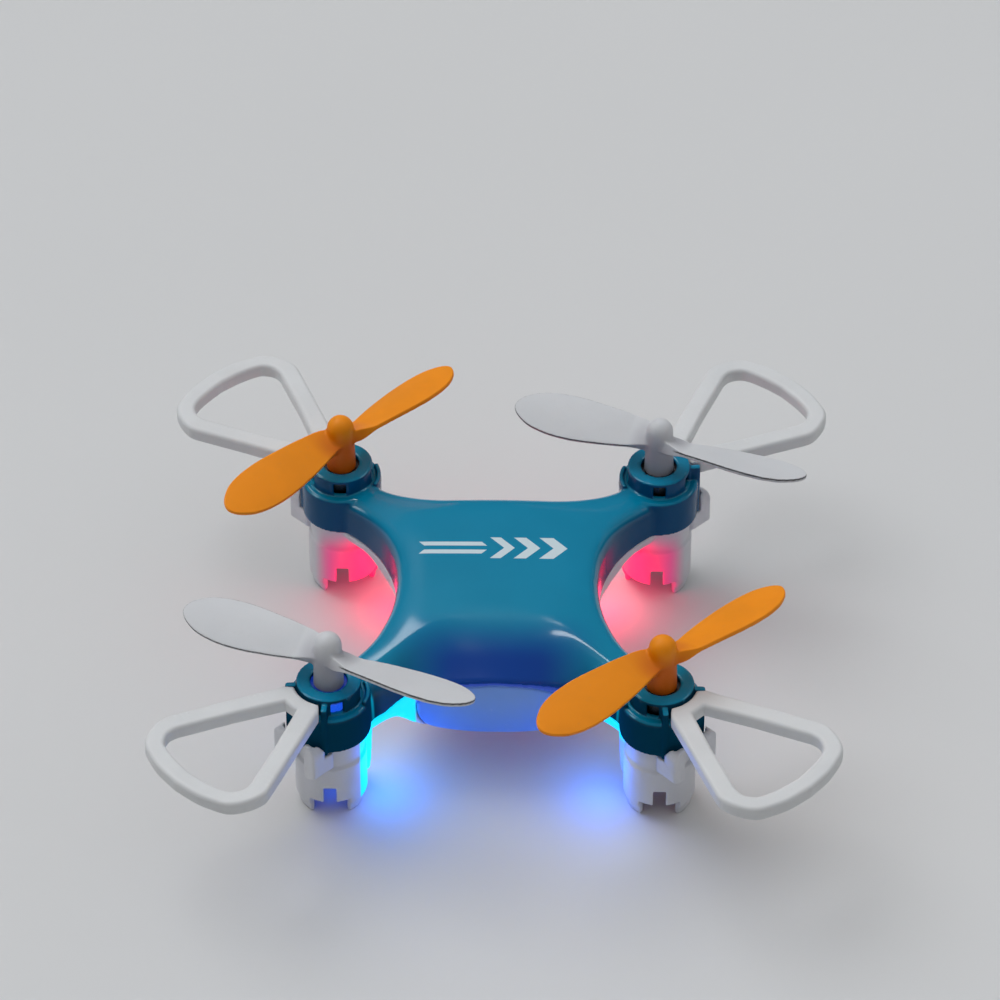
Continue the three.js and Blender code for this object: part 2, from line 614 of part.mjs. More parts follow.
// Sphere reshaped into a cambered, pitched blade along +X
function blade() {
  const geometry = new THREE.SphereGeometry(1, 8, 11);
  const vertices = geometry.attributes.position;
  for (let i = 0; i < vertices.count; i += 1) {
    const share = (1 - vertices.getY(i)) / 2;
    const x = BLADE_ROOT + (PROP_R - BLADE_ROOT) * share;
    const radius = Math.hypot(vertices.getX(i), vertices.getZ(i));
    if (radius < 1e-6) {
      vertices.setXYZ(i, x, 0, 0);
      continue;
    }
    const cos = vertices.getX(i) / radius;
    const sin = vertices.getZ(i) / radius;
    const chord = halfChord(x, cos > 0 ? LOWERED : RAISED);
    const thickness = 0.42 - 0.2 * share;
    const camber = 0.25 * (1 - cos * cos) * Math.min(1, chord / 3);
    const y = chord * cos;
    const z = thickness * sin + camber;
    const pitch = degToRad(-(24 - 9 * share));
    vertices.setXYZ(
      i,
      x,
      y * Math.cos(pitch) - z * Math.sin(pitch),
      y * Math.sin(pitch) + z * Math.cos(pitch),
    );
  }
  return solid(geometry.translate(0, 0, BLADE_Z));
}

function propeller(angle) {
  const oneBlade = blade();
  return union([lathe(HUB_PROFILE, 14), oneBlade, oneBlade.rotate([0, 0, 180])])
    .subtract(cylinder(SHAFT_R + 0.03, [17, 21.3], 12))
    .rotate([0, 0, angle]);
}

// ------------------------------------------------------------------- motors
const motorCan = cut(cylinder(MOTOR_R, [MOTOR_BOTTOM, MOTOR_TOP], 20), [
  cylinder(2.75, [MOTOR_BOTTOM - 1, MOTOR_TOP - 0.5], 16),
  cylinder(SHAFT_R + 0.06, [10, 20], 12),
]);
const motorEndCap = cylinder(2.6, [MOTOR_BOTTOM - 0.3, MOTOR_BOTTOM + 0.8], 16);
const motorShaft = cylinder(SHAFT_R, [MOTOR_BOTTOM + 1.0, 21.2], 12);
const motorCoil = cut(cylinder(2.35, [MOTOR_BOTTOM + 1.4, MOTOR_TOP - 1.0], 14), [
  cylinder(1.95, [MOTOR_BOTTOM, MOTOR_TOP - 1.8], 14),
  cylinder(SHAFT_R + 0.03, [0, 20], 12),
]);

// Motor lead [u, z], from the end cap up the cup's channel and along the arm
const LEAD_PATH = [
  [-1.2, 4.55], [-2.2, 3.75], [-3.1, 4.1], [-3.43, 5.6], [-3.43, 9.0],
  [-3.43, 12.2], [-4.1, 13.3], [-6.5, 13.55], [-9.0, 13.45], [-10.2, 13.2],
];
const LEAD_V = 0.42;           // each lead's distance from the diagonal
const LEADS = [['a', -LEAD_V, 'redWire'], ['b', LEAD_V, 'blueWire']];

// ----------------------------------------------------------------- assembly
const drone = new THREE.Group();

function addGeometry(name, geometry, material, parent = drone) {
  const mesh = new THREE.Mesh(geometry, new THREE.MeshStandardMaterial(MATERIALS[material]));
  mesh.name = name;
  parent.add(mesh);
}
const add = (name, body, material, parent) => (
  addGeometry(name, geometryOf(body), material, parent)
);

add('upper_shell', upperShell(), 'blueShell');
add('lower_shell', lowerShell(), 'whiteShell');
add('nose_cover', noseCover(), 'noseCover');

// Lamp under the end of the board's arm
const LED_OFFSET = 13.2;       // from the centre, along X and along Y
const LED_BOTTOM = 11.3;
function addLed({ name, signX, signY, outward }) {
  const dome = new THREE.SphereGeometry(0.62, 8, 6).rotateX(Math.PI / 2);
  const led = box(span(1.0), span(0.8), [LED_BOTTOM, 11.95])
    .add(solid(dome.translate(0, 0, LED_BOTTOM)))
    .rotate([0, 0, outward])
    .translate([signX * LED_OFFSET, signY * LED_OFFSET, 0]);
  add(`led_${name}`, led, signY < 0 ? 'blueLamp' : 'redLamp');
}

const guardBody = guard();
for (const pod of PODS) {
  const { name } = pod;
  add(`guard_${name}`, inPodFrame(guardBody, pod), 'whiteShell');

  // propeller, motor and leads hang in one group on the motor axis
  const group = new THREE.Group();
  group.position.set(pod.x, pod.y, 0);
  drone.add(group);
  add(`propeller_${name}`, propeller(pod.propAngle), pod.propMaterial, group);
  add(`motor_can_${name}`, motorCan, 'steel', group);
  add(`motor_end_cap_${name}`, motorEndCap, 'dark', group);
  add(`motor_coil_${name}`, motorCoil, 'coil', group);
  add(`motor_shaft_${name}`, motorShaft, 'steel', group);
  addLed(pod);
  for (const [pole, v, material] of LEADS) {
    const lead = wire(LEAD_PATH.map(([u, z]) => [u, v, z]), 0.22, 13);
    add(`motor_wire_${name}_${pole}`, lead.rotate([0, 0, pod.outward]), material, group);
  }
}

// -------------------------------------------------------------- electronics
const BOARD_Z = [12.0, 12.8];
const CHIP_Z = 12.85;          // underside of the parts on the board

function circuitBoard() {
  const arms = [45, 135, 225, 315].map((angle) => radialBlock(angle, [4, 20.2], 1.25, BOARD_Z));
  const body = union([box(span(7.6), [-10, 9.6], BOARD_Z), ...arms]);
  return cut(body, SCREWS.map(({ x, y }) => cylinder(1.6, [10, 14], 12, x, y)));
}
add('flight_controller_board', circuitBoard(), 'board');

// [name, x range, y range, z range, material]
const BLOCKS = [
  ['microcontroller_chip', [-2.6, 2.6], [-2.6, 2.6], [CHIP_Z, 13.7], 'dark'],
  ['radio_chip', [-5.6, -1.8], [-8.4, -4.6], [CHIP_Z, 13.65], 'dark'],
  ['gyro_chip', [3.4, 6.4], [-1.5, 1.5], [CHIP_Z, 13.75], 'dark'],
  ['crystal', [-0.9, 2.3], [-6.6, -5.1], [CHIP_Z, 13.7], 'steel'],
  ['battery_cell', [-6.3, 6.3], [-8.3, 8.4], [7.3, 11.2], 'battery'],
  ['battery_pad', [-5.5, 5.5], [-7, 7], [11.3, 11.85], 'pad'],
];
for (const [name, xRange, yRange, zRange, material] of BLOCKS) {
  addGeometry(name, boxGeometry(xRange, yRange, zRange), material);
}

// Battery socket, open to the rear, and the plug with two holes in its rear face
const batterySocket = box(span(2.4), [4.6, 8.0], [CHIP_Z, 15.3])
  .subtract(box(span(1.9), [5.2, 9], [13.3, 14.9]));
add('battery_socket', batterySocket, 'socket');
const plugHoles = [[-1.1, -0.2], [0.2, 1.1]].map((xRange) => box(xRange, [8.2, 10], [13.7, 14.5]));
add('battery_plug', cut(box(span(1.8), [5.4, 9.2], [13.4, 14.8]), plugHoles), 'plug');

// Battery wires [y, z], from the plug round the board's rear edge to the cell
const BATTERY_WIRE_PATH = [
  [8.4, 14.1], [9.6, 14.1], [10.4, 13.5], [10.5, 12.2],
  [10.2, 11.4], [9.4, 11.2], [8.95, 10.6], [8.72, 9.8],
];
for (const [colour, x] of [['red', -0.65], ['black', 0.65]]) {
  const lead = wire(BATTERY_WIRE_PATH.map(([y, z]) => [x, y, z]), 0.28, 12);
  add(`battery_wire_${colour}`, lead, `${colour}Wire`);
}

// Antenna [x, y, z], from beside the radio chip round the -X side to the rear
const ANTENNA_PATH = [
  [-3.7, -8.6, 13.0], [-3.7, -9.4, 13.4], [-4.6, -10.4, 13.9], [-6.6, -9.6, 14.2],
  [-7.0, -6, 14.4], [-6.9, 0, 14.6], [-6.6, 5, 14.6], [-5.4, 9, 14.4], [-3.6, 10.9, 14.0],
];
add('antenna_wire', wire(ANTENNA_PATH, 0.2, 14), 'antenna');

// Power switch: a sliding knob that reaches through the belly
const switchBody = box(span(3.4), [-12.0, -9.7], [7.1, 9.0])
  .subtract(box(SWITCH_SLOT_X, SWITCH_SLOT_Y, [6, 8.2]));
add('power_switch_body', switchBody, 'switchBody');
add('power_switch_slider', box([-1.6, 0.1], [-11.55, -10.45], [5.1, 8.05]), 'dark');

// Charging socket, open to the rear
const chargingSocket = box(span(2.6), [9.9, 12.7], [8.8, 10.6])
  .subtract(box(span(1.6), [10.9, 14], [9.15, 10.25]));
add('charging_socket', chargingSocket, 'chargingSocket');

// Case screws, head down, with a cross recess
const SCREW_PROFILE = [
  [0, 6.75], [0.8, 6.8], [1.15, 7.1], [1.15, 7.85], [0.55, 7.85], [0.55, 13.6], [0, 14.1],
];
const RECESS_LENGTH = span(0.7);
const RECESS_WIDTH = span(0.14);
const RECESS_Z = [6, 7.2];
const caseScrew = cut(lathe(SCREW_PROFILE, 12), [
  box(RECESS_LENGTH, RECESS_WIDTH, RECESS_Z),
  box(RECESS_WIDTH, RECESS_LENGTH, RECESS_Z),
]);
for (const { name, x, y } of SCREWS) {
  add(`case_screw_${name}`, caseScrew.translate([x, y, 0]), 'steel');
}

export default drone;
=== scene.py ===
"""A small four-rotor drone with guard loops round its rotors, built over its CAD pieces.

It stands on the floor (z = 0) with +Z up. The front faces -Y, the rear +Y, the left side -X.
Four round motor pods stand at |x| = |y| = POD. Sizes are in millimetres unless a comment
says metres; the finished meshes are in metres.
"""

import itertools
import json
import math
from functools import reduce

import bpy
import numpy as np
import openvdb as vdb
from mathutils import Matrix, Vector


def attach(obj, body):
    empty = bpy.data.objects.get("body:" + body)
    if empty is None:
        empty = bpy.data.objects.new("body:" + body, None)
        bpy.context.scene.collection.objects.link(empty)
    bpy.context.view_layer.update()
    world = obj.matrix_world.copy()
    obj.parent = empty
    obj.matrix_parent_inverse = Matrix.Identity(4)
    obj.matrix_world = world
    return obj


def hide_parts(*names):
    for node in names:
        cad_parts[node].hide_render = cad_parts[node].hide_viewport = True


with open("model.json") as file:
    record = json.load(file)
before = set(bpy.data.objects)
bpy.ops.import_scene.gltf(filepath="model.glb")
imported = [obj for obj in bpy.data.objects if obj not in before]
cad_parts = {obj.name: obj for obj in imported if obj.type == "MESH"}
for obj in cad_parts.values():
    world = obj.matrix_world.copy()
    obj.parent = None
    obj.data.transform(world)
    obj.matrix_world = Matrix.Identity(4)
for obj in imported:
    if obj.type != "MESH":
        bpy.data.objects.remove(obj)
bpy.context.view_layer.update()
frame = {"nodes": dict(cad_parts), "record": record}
VOXEL_SCALE = 1.0
MM = 1e-3                                       # metres

# ------------------------------------------------------------------ shared dimensions
POD = 19.0
PART_Z, GAP_Z, WALL = 10.85, 0.05, 1.0          # joint between the shells, its gap, shell wall
DECK_Z, BELLY_Z = 17.25, 6.0                    # top and underside of the body at its middle
SLEEVE_R, SHOULDER_Z = 4.75, 15.7
RING_R, RING_TOP, HOLE_R, LIP_Z = 3.74, 18.0, 2.12, 17.4
BORE_R = 3.2
NOSE_HALF = 9.2                                 # half width of the nose panel
DIAGONAL = math.sqrt(0.5)
# x and y sign of each pod
PODS = {"rear_left": (-1, 1), "rear_right": (1, 1),
        "front_left": (-1, -1), "front_right": (1, -1)}

# body outline in plan: the waist as (|x|, |y|), the rear as (|x|, y), the front as (|x|, -y)
SIDE = [[11.8, 0], [12.0, 2.7], [12.45, 5.1], [13.15, 7.2], [13.95, 9.0], [14.9, 10.55],
        [15.9, 11.85], [17.0, 13.0], [18.3, 14.2]]
REAR = [[0, 14.9], [2.4, 14.9], [4.8, 14.9], [7.0, 15.0], [8.9, 15.3], [10.6, 15.8],
        [12.0, 16.35], [13.2, 17.0], [14.3, 17.8]]
FRONT = [[0, 15.75], [2.4, 15.7], [4.8, 15.5], [7.0, 15.25], [8.9, 15.15], [10.6, 15.6],
         [12.0, 16.5], [13.2, 17.5], [14.3, 18.6]]
POD_CORNER = [[19.6, 16.0], [16.0, 19.6]]       # joins the waist to the rear or front, under a pod
FRONT_END = FRONT[-1][0]


# ------------------------------------------------------------------ distance fields
# A field holds distances, negative inside. The last argument of meet, join and cut is the
# radius of the round edge they leave.
def smoothstep(low, high, value):
    t = np.clip((value - low) / (high - low), 0, 1)
    return t * t * (3 - 2 * t)


def meet(first, second, radius):
    """intersection"""
    over_a = np.maximum(first + radius, 0)
    over_b = np.maximum(second + radius, 0)
    flat = np.minimum(-radius, np.maximum(first, second))
    return flat + np.sqrt(over_a * over_a + over_b * over_b)


def join(first, second, radius):
    """union with a fillet"""
    return -meet(-first, -second, radius)


def cut(first, second, radius):
    """first without second"""
    return meet(first, -second, radius)


def common(*fields):
    """intersection with sharp edges"""
    return reduce(np.maximum, fields)


def either(*fields):
    """union with sharp edges"""
    return reduce(np.minimum, fields)


def slab(value, span):
    return np.maximum(span[0] - value, value - span[1])


def sector(angle, half_angle, mm_per_degree):
    return (np.abs(angle) - half_angle) * mm_per_degree


def smooth_curve(points, steps=14):
    """dense Catmull-Rom curve through the points"""
    knots = np.array(points, float)
    knots = np.vstack([2 * knots[0] - knots[1], knots, 2 * knots[-1] - knots[-2]])
    curve = []
    for i in range(1, len(knots) - 2):
        before, start, end, after = knots[i - 1:i + 3]
        for t in np.linspace(0, 1, steps, endpoint=False):
            curve.append(0.5 * ((2 * start) + (end - before) * t
                                + (2 * before - 5 * start + 4 * end - after) * t ** 2
                                + (3 * start - before - 3 * end + after) * t ** 3))
    curve.append(knots[-2])
    return np.array(curve)


def polygon_distance(polygon, x, y):
    """signed distance to a closed polygon, negative inside"""
    shape = np.broadcast(x, y).shape
    x = np.broadcast_to(x, shape).ravel().astype(np.float32)
    y = np.broadcast_to(y, shape).ravel().astype(np.float32)
    nearest = np.full(x.size, 1e9, np.float32)
    inside = np.zeros(x.size, bool)
    for (x0, y0), (x1, y1) in zip(polygon, np.roll(polygon, -1, axis=0)):
        edge_x, edge_y = x1 - x0, y1 - y0
        length_2 = edge_x * edge_x + edge_y * edge_y
        if length_2 < 1e-12:
            continue
        from_x, from_y = x - x0, y - y0
        along = np.clip((from_x * edge_x + from_y * edge_y) / length_2, 0, 1)
        gap_x, gap_y = from_x - edge_x * along, from_y - edge_y * along
        nearest = np.minimum(nearest, gap_x * gap_x + gap_y * gap_y)
        if y0 != y1:
            inside ^= ((y0 > y) != (y1 > y)) & (x < edge_x * from_y / edge_y + x0)
    distance = np.sqrt(nearest)
    return np.where(inside, -distance, distance).reshape(shape)


class Grid:
    """sample places along x, y and z, shaped to broadcast together; plan_x, plan_y are 2-D"""
    def __init__(self, low, high, voxel):
        self.voxel = voxel * VOXEL_SCALE
        self.low = np.array(low, float)
        span = np.array(high, float) - self.low
        self.count = np.ceil(span / self.voxel).astype(int) + 1
        x, y, z = ((start + self.voxel * np.arange(count)).astype(np.float32)
                   for start, count in zip(self.low, self.count))
        self.x, self.y, self.z = x[:, None, None], y[None, :, None], z[None, None, :]
        self.plan_x, self.plan_y = np.broadcast_arrays(x[:, None], y)


def sample(field, places):
    """trilinear values of a field at places given in index space"""
    cell = np.clip(np.floor(places).astype(int), 0, np.array(field.shape) - 2)
    part = places - cell
    total = 0
    for corner in itertools.product((0, 1), repeat=3):
        share_x, share_y, share_z = np.where(corner, part, 1 - part).T
        total = total + share_x * share_y * share_z * field[tuple((cell + corner).T)]
    return total


def gradient(field, places, reach=0.6):
    """slope of a field per voxel"""
    rises = [sample(field, places + step) - sample(field, places - step)
             for step in reach * np.eye(3)]
    return np.stack(rises, 1) / (2 * reach)


def field_mesh(name, grid, field, adaptivity=0.0):
    """the zero surface of a distance field as a mesh object, in metres"""
    field = np.ascontiguousarray(np.broadcast_to(field, tuple(grid.count)), dtype=np.float32)
    band = 3.0 * grid.voxel
    volume = vdb.FloatGrid(band)
    volume.copyFromArray(np.clip(field, -band, band))
    places, triangles, quads = volume.convertToPolygons(isovalue=0.0, adaptivity=adaptivity)
    places = places.astype(float)

    # pull the vertices onto the surface, at most 0.45 voxel at a time
    for _ in range(2):
        slope = gradient(field, places)
        steepness = np.maximum((slope * slope).sum(1), 1e-3 * grid.voxel ** 2)
        step = (sample(field, places) / steepness)[:, None] * slope
        size = np.linalg.norm(step, axis=1, keepdims=True)
        places = places - step * np.minimum(1, 0.45 / np.maximum(size, 1e-9))
    normal = gradient(field, places)
    normal /= np.maximum(np.linalg.norm(normal, axis=1, keepdims=True), 1e-9)
    points = (grid.low + places * grid.voxel) * MM

    # turn the faces over if the first of them look inwards
    faces = quads.tolist() + triangles.tolist()
    corners = np.array([face[:3] for face in faces[:4000]])
    first, second, third = (points[corners[:, i]] for i in range(3))
    if (np.cross(second - first, third - first) * normal[corners[:, 0]]).sum() < 0:
        faces = [face[::-1] for face in faces]

    mesh = bpy.data.meshes.new(name)
    mesh.from_pydata(points.tolist(), [], faces)
    mesh.polygons.foreach_set("use_smooth", np.ones(len(faces), bool))
    mesh.update()
    mesh.normals_split_custom_set_from_vertices(normal.tolist())
    obj = bpy.data.objects.new(name, mesh)
    bpy.context.scene.collection.objects.link(obj)
    return obj


# ------------------------------------------------------------------ body surfaces
SIDE_CURVE, REAR_CURVE, FRONT_CURVE = smooth_curve(SIDE), smooth_curve(REAR), smooth_curve(FRONT)


def body_outline():
    rear = np.vstack([SIDE_CURVE, POD_CORNER, REAR_CURVE[::-1]])
    front = np.vstack([SIDE_CURVE, POD_CORNER, FRONT_CURVE[::-1]])
    points = np.vstack([rear, (rear * [-1, 1])[::-1], front * [-1, -1], (front * [1, -1])[::-1]])
    kept = [points[0]]
    for point in points[1:]:
        if np.hypot(*(point - kept[-1])) > 1e-3:
            kept.append(point)
    return np.array(kept)


OUTLINE = body_outline()


def arch(x):
    """top of the opening in the upper shell's front"""
    return np.maximum(PART_Z, 14.3 - 0.0213 * x * x)


def front_low(x):
    """lower rim of the front"""
    abs_x = np.abs(x)
    return np.where(abs_x < NOSE_HALF, 6.45 + 1.45 * (abs_x / NOSE_HALF) ** 4,
                    7.9 + (9.95 - 7.9) * smoothstep(NOSE_HALF, 11.6, abs_x))


def front_edge(x):
    return np.interp(np.abs(x), FRONT_CURVE[:, 0], FRONT_CURVE[:, 1])


def top_height(x, y):
    """height of the upper surface before its edges are rounded"""
    radius = np.hypot(x, y)
    crest = DECK_Z - 0.12 * (radius / 12) ** 2 - 0.85 * smoothstep(11, 23, radius)
    abs_x = np.abs(x)
    across = np.clip(abs_x, 0, FRONT_END)
    edge = front_edge(x) + np.maximum(0, abs_x - FRONT_END) * 1.0
    # the front slope starts on a V in plan whose point is softened
    point, softness = 5.7, 2.6
    start = 0.5 * (abs_x + point + np.sqrt((abs_x - point) ** 2 + softness ** 2)) - 0.15
    t = np.clip((-y - start) / np.maximum(edge - start, 0.6), 0, 1)
    # a hollow-free power curve at the middle turns into a round shoulder at the sides
    outer = smoothstep(6, 13, across)
    fall = (1 - outer) * t ** 1.8 + outer * (1 - np.sqrt(1 - (0.995 * t) ** 2)) / 0.9
    low = arch(across) + 0.35
    return crest + (low - crest) * np.minimum(1, fall)


def low_height(x, y, depth):
    """height of the underside; depth is the distance in from the outline"""
    belly = BELLY_Z + 2.6 * smoothstep(15.5, 21, np.hypot(x, y))
    frontness = smoothstep(-0.8, 0.8, -y - np.abs(x))
    rim = 10.05 + (front_low(x) - 10.05) * frontness
    nearness = np.clip(1 - depth / 3.6, 0, 1)
    return belly + (rim - belly) * (1 - np.sqrt(np.maximum(0, 1 - nearness * nearness)))


def above(grid, height, lift=0.0):
    """distance over a surface of the given height, negative below it"""
    slope_x, slope_y = np.gradient(height, grid.voxel)
    steepness = np.sqrt(1 + np.minimum(slope_x * slope_x + slope_y * slope_y, 9.0))
    return (grid.z - (height + lift)[:, :, None]) / steepness[:, :, None]


def body_fields(grid):
    """plan distance to the outline, and the body below its upper surface"""
    x, y = grid.plan_x, grid.plan_y
    plan = polygon_distance(OUTLINE, x, y)
    droop = 0.42 * np.clip((plan + 3.6) / 3.6, 0, 1) ** 1.7
    top = top_height(x, y) - droop * smoothstep(-16.5, -9.5, y)
    # the top edge is rounder at the sides and rear than at the front
    edge = 1.45 - 0.9 * smoothstep(-0.6, 0.9, -y - np.abs(x))
    return plan, meet(plan[:, :, None], above(grid, top), edge[:, :, None].astype(np.float32))


def pod_local(grid, x_sign, y_sign):
    """radius from the pod axis, outward and sideways distances along the diagonal, x and y offsets"""
    dx, dy = grid.x - x_sign * POD, grid.y - y_sign * POD
    out = (dx * x_sign + dy * y_sign) * DIAGONAL
    side = (-dx * y_sign + dy * x_sign) * DIAGONAL
    return np.sqrt(dx * dx + dy * dy), out, side, dx, dy


def nearest_pod(grid):
    return either(*(pod_local(grid, *signs)[0] for signs in PODS.values()))


def bar(out, side, degrees, reach, half_width, edge):
    """plan section of a bar pointing away from the pod axis at an angle"""
    angle = math.radians(degrees)
    along = out * math.cos(angle) + side * math.sin(angle)
    across = -out * math.sin(angle) + side * math.cos(angle)
    return meet(slab(along, reach), np.abs(across) - half_width, edge)


# ------------------------------------------------------------------ upper shell
# spans are (low, high); *_OUT is measured along the pod's outward diagonal
RAIL_ANGLES, RAIL_OUT, RAIL_HALF, RAIL_Z = (-40, 40), (3.3, 5.0), 0.36, (10.5, 17.55)
RAIL_CLEAR_R = 4.33                             # the rails stay outside this below the joint
LUG_R, LUG_ANGLE, LUG_Z = (4.2, 4.72), 26, (SHOULDER_Z - 0.6, 16.3)
WINDOW_ANGLES, WINDOW_OUT, WINDOW_HALF = (-134, -62, 62, 134), (2.6, 4.1), 0.72
WINDOW_Z = (SHOULDER_Z + 0.22, LIP_Z + 0.1)
POCKET_R, POCKET_ANGLE, POCKET_Z = (3.8, 4.5), 25, (12.9, 16.6)
PASS_OUT, PASS_HALF, PASS_Z = (-6.6, -2.6), 1.2, (9.8, 14.3)


def upper_pod(grid, x_sign, y_sign):
    """sleeve and ring with two rails and a lug on the side"""
    radius, out, side, dx, dy = pod_local(grid, x_sign, y_sign)
    sleeve = meet(radius - SLEEVE_R, grid.z - SHOULDER_Z, 0.42)
    sleeve = meet(sleeve, PART_Z - grid.z, 0.12)
    ring = meet(radius - RING_R, grid.z - RING_TOP, 0.2)
    pod = join(sleeve, common(ring, PART_Z + 0.3 - grid.z), 0.12)
    for degrees in RAIL_ANGLES:
        rail = bar(out, side, degrees, RAIL_OUT, RAIL_HALF, 0.2)
        rail = meet(rail, slab(grid.z, RAIL_Z), 0.15)
        rail = common(rail, -common(radius - RAIL_CLEAR_R, grid.z - PART_Z))
        pod = join(pod, rail, 0.15)
    turn = np.degrees(np.arctan2(dy, -x_sign * dx))
    lug = meet(slab(radius, LUG_R), sector(turn, LUG_ANGLE, 0.078), 0.15)
    return join(pod, meet(lug, slab(grid.z, LUG_Z), 0.15), 0.1)


def cut_upper_pod(grid, solid, signs):
    """bore, top hole, windows in the ring, outer pocket and the passage to the body"""
    radius, out, side, _, _ = pod_local(grid, *signs)
    solid = cut(solid, meet(radius - BORE_R, grid.z - LIP_Z, 0.05), 0.05)
    solid = cut(solid, radius - HOLE_R, 0.14)
    for degrees in WINDOW_ANGLES:
        window = bar(out, side, degrees, WINDOW_OUT, WINDOW_HALF, 0.06)
        solid = cut(solid, meet(window, slab(grid.z, WINDOW_Z), 0.06), 0.08)
    angle = np.degrees(np.arctan2(side, out))
    pocket = common(slab(radius, POCKET_R), sector(angle, POCKET_ANGLE, 0.07),
                    slab(grid.z, POCKET_Z))
    solid = cut(solid, pocket, 0.06)
    passage = common(slab(out, PASS_OUT), np.abs(side) - PASS_HALF, slab(grid.z, PASS_Z))
    return cut(solid, passage, 0.08)


def make_upper():
    grid = Grid((-24.9, -24.9, 9.9), (24.9, 24.9, 18.7), 0.2)
    _, body = body_fields(grid)
    solid = meet(body, PART_Z - grid.z, 0.12)
    solid = cut(solid, common(body + WALL, 4.15 - nearest_pod(grid)), 0.1)
    for signs in PODS.values():
        solid = join(solid, upper_pod(grid, *signs), 0.35)
        solid = cut_upper_pod(grid, solid, signs)
    opening = common(grid.z - arch(grid.x), np.abs(grid.x) - 14.25, grid.y + 13.6)
    solid = cut(solid, opening, 0.12)
    return field_mesh("upper_shell_blue", grid, solid, 0.01)


# ------------------------------------------------------------------ lower shell
CUP_R, NECK_R, LEDGE_Z = 4.17, 3.86, 7.55
# z, radius of the cup under each motor
CUP_PROFILE = [(-1, 3.8), (0.72, 3.8), (1.6, CUP_R), (LEDGE_Z - 0.1, CUP_R),
               (LEDGE_Z + 0.12, NECK_R), (20, NECK_R)]
FOOT_TOP = 2.3
NOTCH_HALF, NOTCH_Z = 0.75, (1.0, 4.5)
BRACKET_Z, ARM_OUT, ARM_SIDE = (7.4, 12.35), (2.6, 5.65), (2.65, 3.42)
HOOK_OUT, HOOK_SIDE = (4.95, ARM_OUT[1]), (1.55, ARM_SIDE[1])
RIB_Z, RIB_HALF = (1.7, 9.2), 1.5
RIB_REACH = [(1.7, 4.85), (3.2, 5.1), (9.2, 5.45)]      # z, reach towards the body's middle
CHANNEL_OUT, CHANNEL_HALF, CHANNEL_Z = (-3.75, -2.6), 0.95, (3.1, 12.0)
POST_X, POST_Y, POST_R, POST_Z = 9.5, 5.0, 1.65, (6.4, 10.95)
SCREW_R, SCREW_HEAD_R = 0.75, 1.35
SLOT_HALF_X, SLOT_Y, SLOT_HALF_Y = 1.75, -11.0, 0.65
PORT_HALF, PORT_Z = 1.7, (9.05, 10.35)
INNER_Z = 8.0                                   # the underside holes for slot and heads end here


def profile(grid, table):
    return np.interp(grid.z, *zip(*table)).astype(np.float32)


def cup_base(grid, radius, dx, dy, signs):
    """turned cup, notched across y, standing on two feet"""
    cup = meet(radius - profile(grid, CUP_PROFILE), -grid.z, 0.12)
    cup = meet(cup, grid.z - (PART_Z - GAP_Z), 0.1)
    # 0 degrees points to the pod's own end of the body, +90 to its outer side;
    # the feet stand at 35..145 and -100..-35 degrees
    angle = np.degrees(np.arctan2(dx * signs[0], dy * signs[1]))
    gap = np.where((angle > -35) & (angle < 35), np.abs(angle) - 35,
                   np.where(angle >= 35, 145 - angle, angle + 100)) * np.radians(1) * 3.7
    cup = cut(cup, meet(gap, grid.z - FOOT_TOP, 0.15), 0.12)
    notch = meet(np.abs(dx) - NOTCH_HALF, grid.z - NOTCH_Z[1], 0.12)
    return cut(cup, common(notch, NOTCH_Z[0] - grid.z), 0.1)


def cup_bracket(grid, radius, out, abs_side):
    """pair of upright arms on the outer side, hooked towards each other"""
    height = slab(grid.z, BRACKET_Z)
    arm = meet(meet(slab(out, ARM_OUT), slab(abs_side, ARM_SIDE), 0.25), height, 0.12)
    hook = meet(meet(slab(out, HOOK_OUT), slab(abs_side, HOOK_SIDE), 0.25), height, 0.12)
    top_corner = meet(abs_side - 3.45, grid.z - 12.38, 1.25)
    lower_slope = ((7.75 - grid.z) + (abs_side - 2.9) * 0.7) / 1.22
    bracket = common(join(arm, hook, 0.3), top_corner, lower_slope)
    return cut(bracket, common(radius - 5.2, PART_Z - 0.45 - grid.z), 0.05)


def add_cup(grid, solid, signs):
    radius, out, side, dx, dy = pod_local(grid, *signs)
    abs_side = np.abs(side)
    cup = cup_base(grid, radius, dx, dy, signs)
    cup = join(cup, cup_bracket(grid, radius, out, abs_side), 0.2)
    if signs[1] < 0:                            # only the front cups have a rib
        rib = meet(common(-out - profile(grid, RIB_REACH), out + 3.6), abs_side - RIB_HALF, 0.3)
        cup = join(cup, meet(rib, slab(grid.z, RIB_Z), 0.25), 0.2)
    solid = join(solid, cup, 0.3)
    # motor space, a hole in the floor and a wider recess under it
    bore = either(common(radius - BORE_R, 2.9 - grid.z), radius - 2.4,
                  common(radius - 3.05, grid.z - 2.3))
    solid = cut(solid, bore, 0.05)
    channel = common(slab(out, CHANNEL_OUT), abs_side - CHANNEL_HALF, slab(grid.z, CHANNEL_Z))
    return cut(solid, channel, 0.05)


def add_posts(grid, solid, low):
    """four screw posts with a head recess from below"""
    for x_sign, y_sign in itertools.product((-1, 1), repeat=2):
        radius = np.sqrt((grid.x - x_sign * POST_X) ** 2 + (grid.y - y_sign * POST_Y) ** 2)
        post = common(radius - POST_R, grid.z - POST_Z[1], POST_Z[0] - grid.z,
                      low[:, :, None] + 0.3 - grid.z)
        solid = join(solid, post, 0.2)
        solid = cut(solid, radius - SCREW_R, 0.05)
        solid = cut(solid, common(radius - SCREW_HEAD_R, grid.z - INNER_Z), 0.12)
    return solid


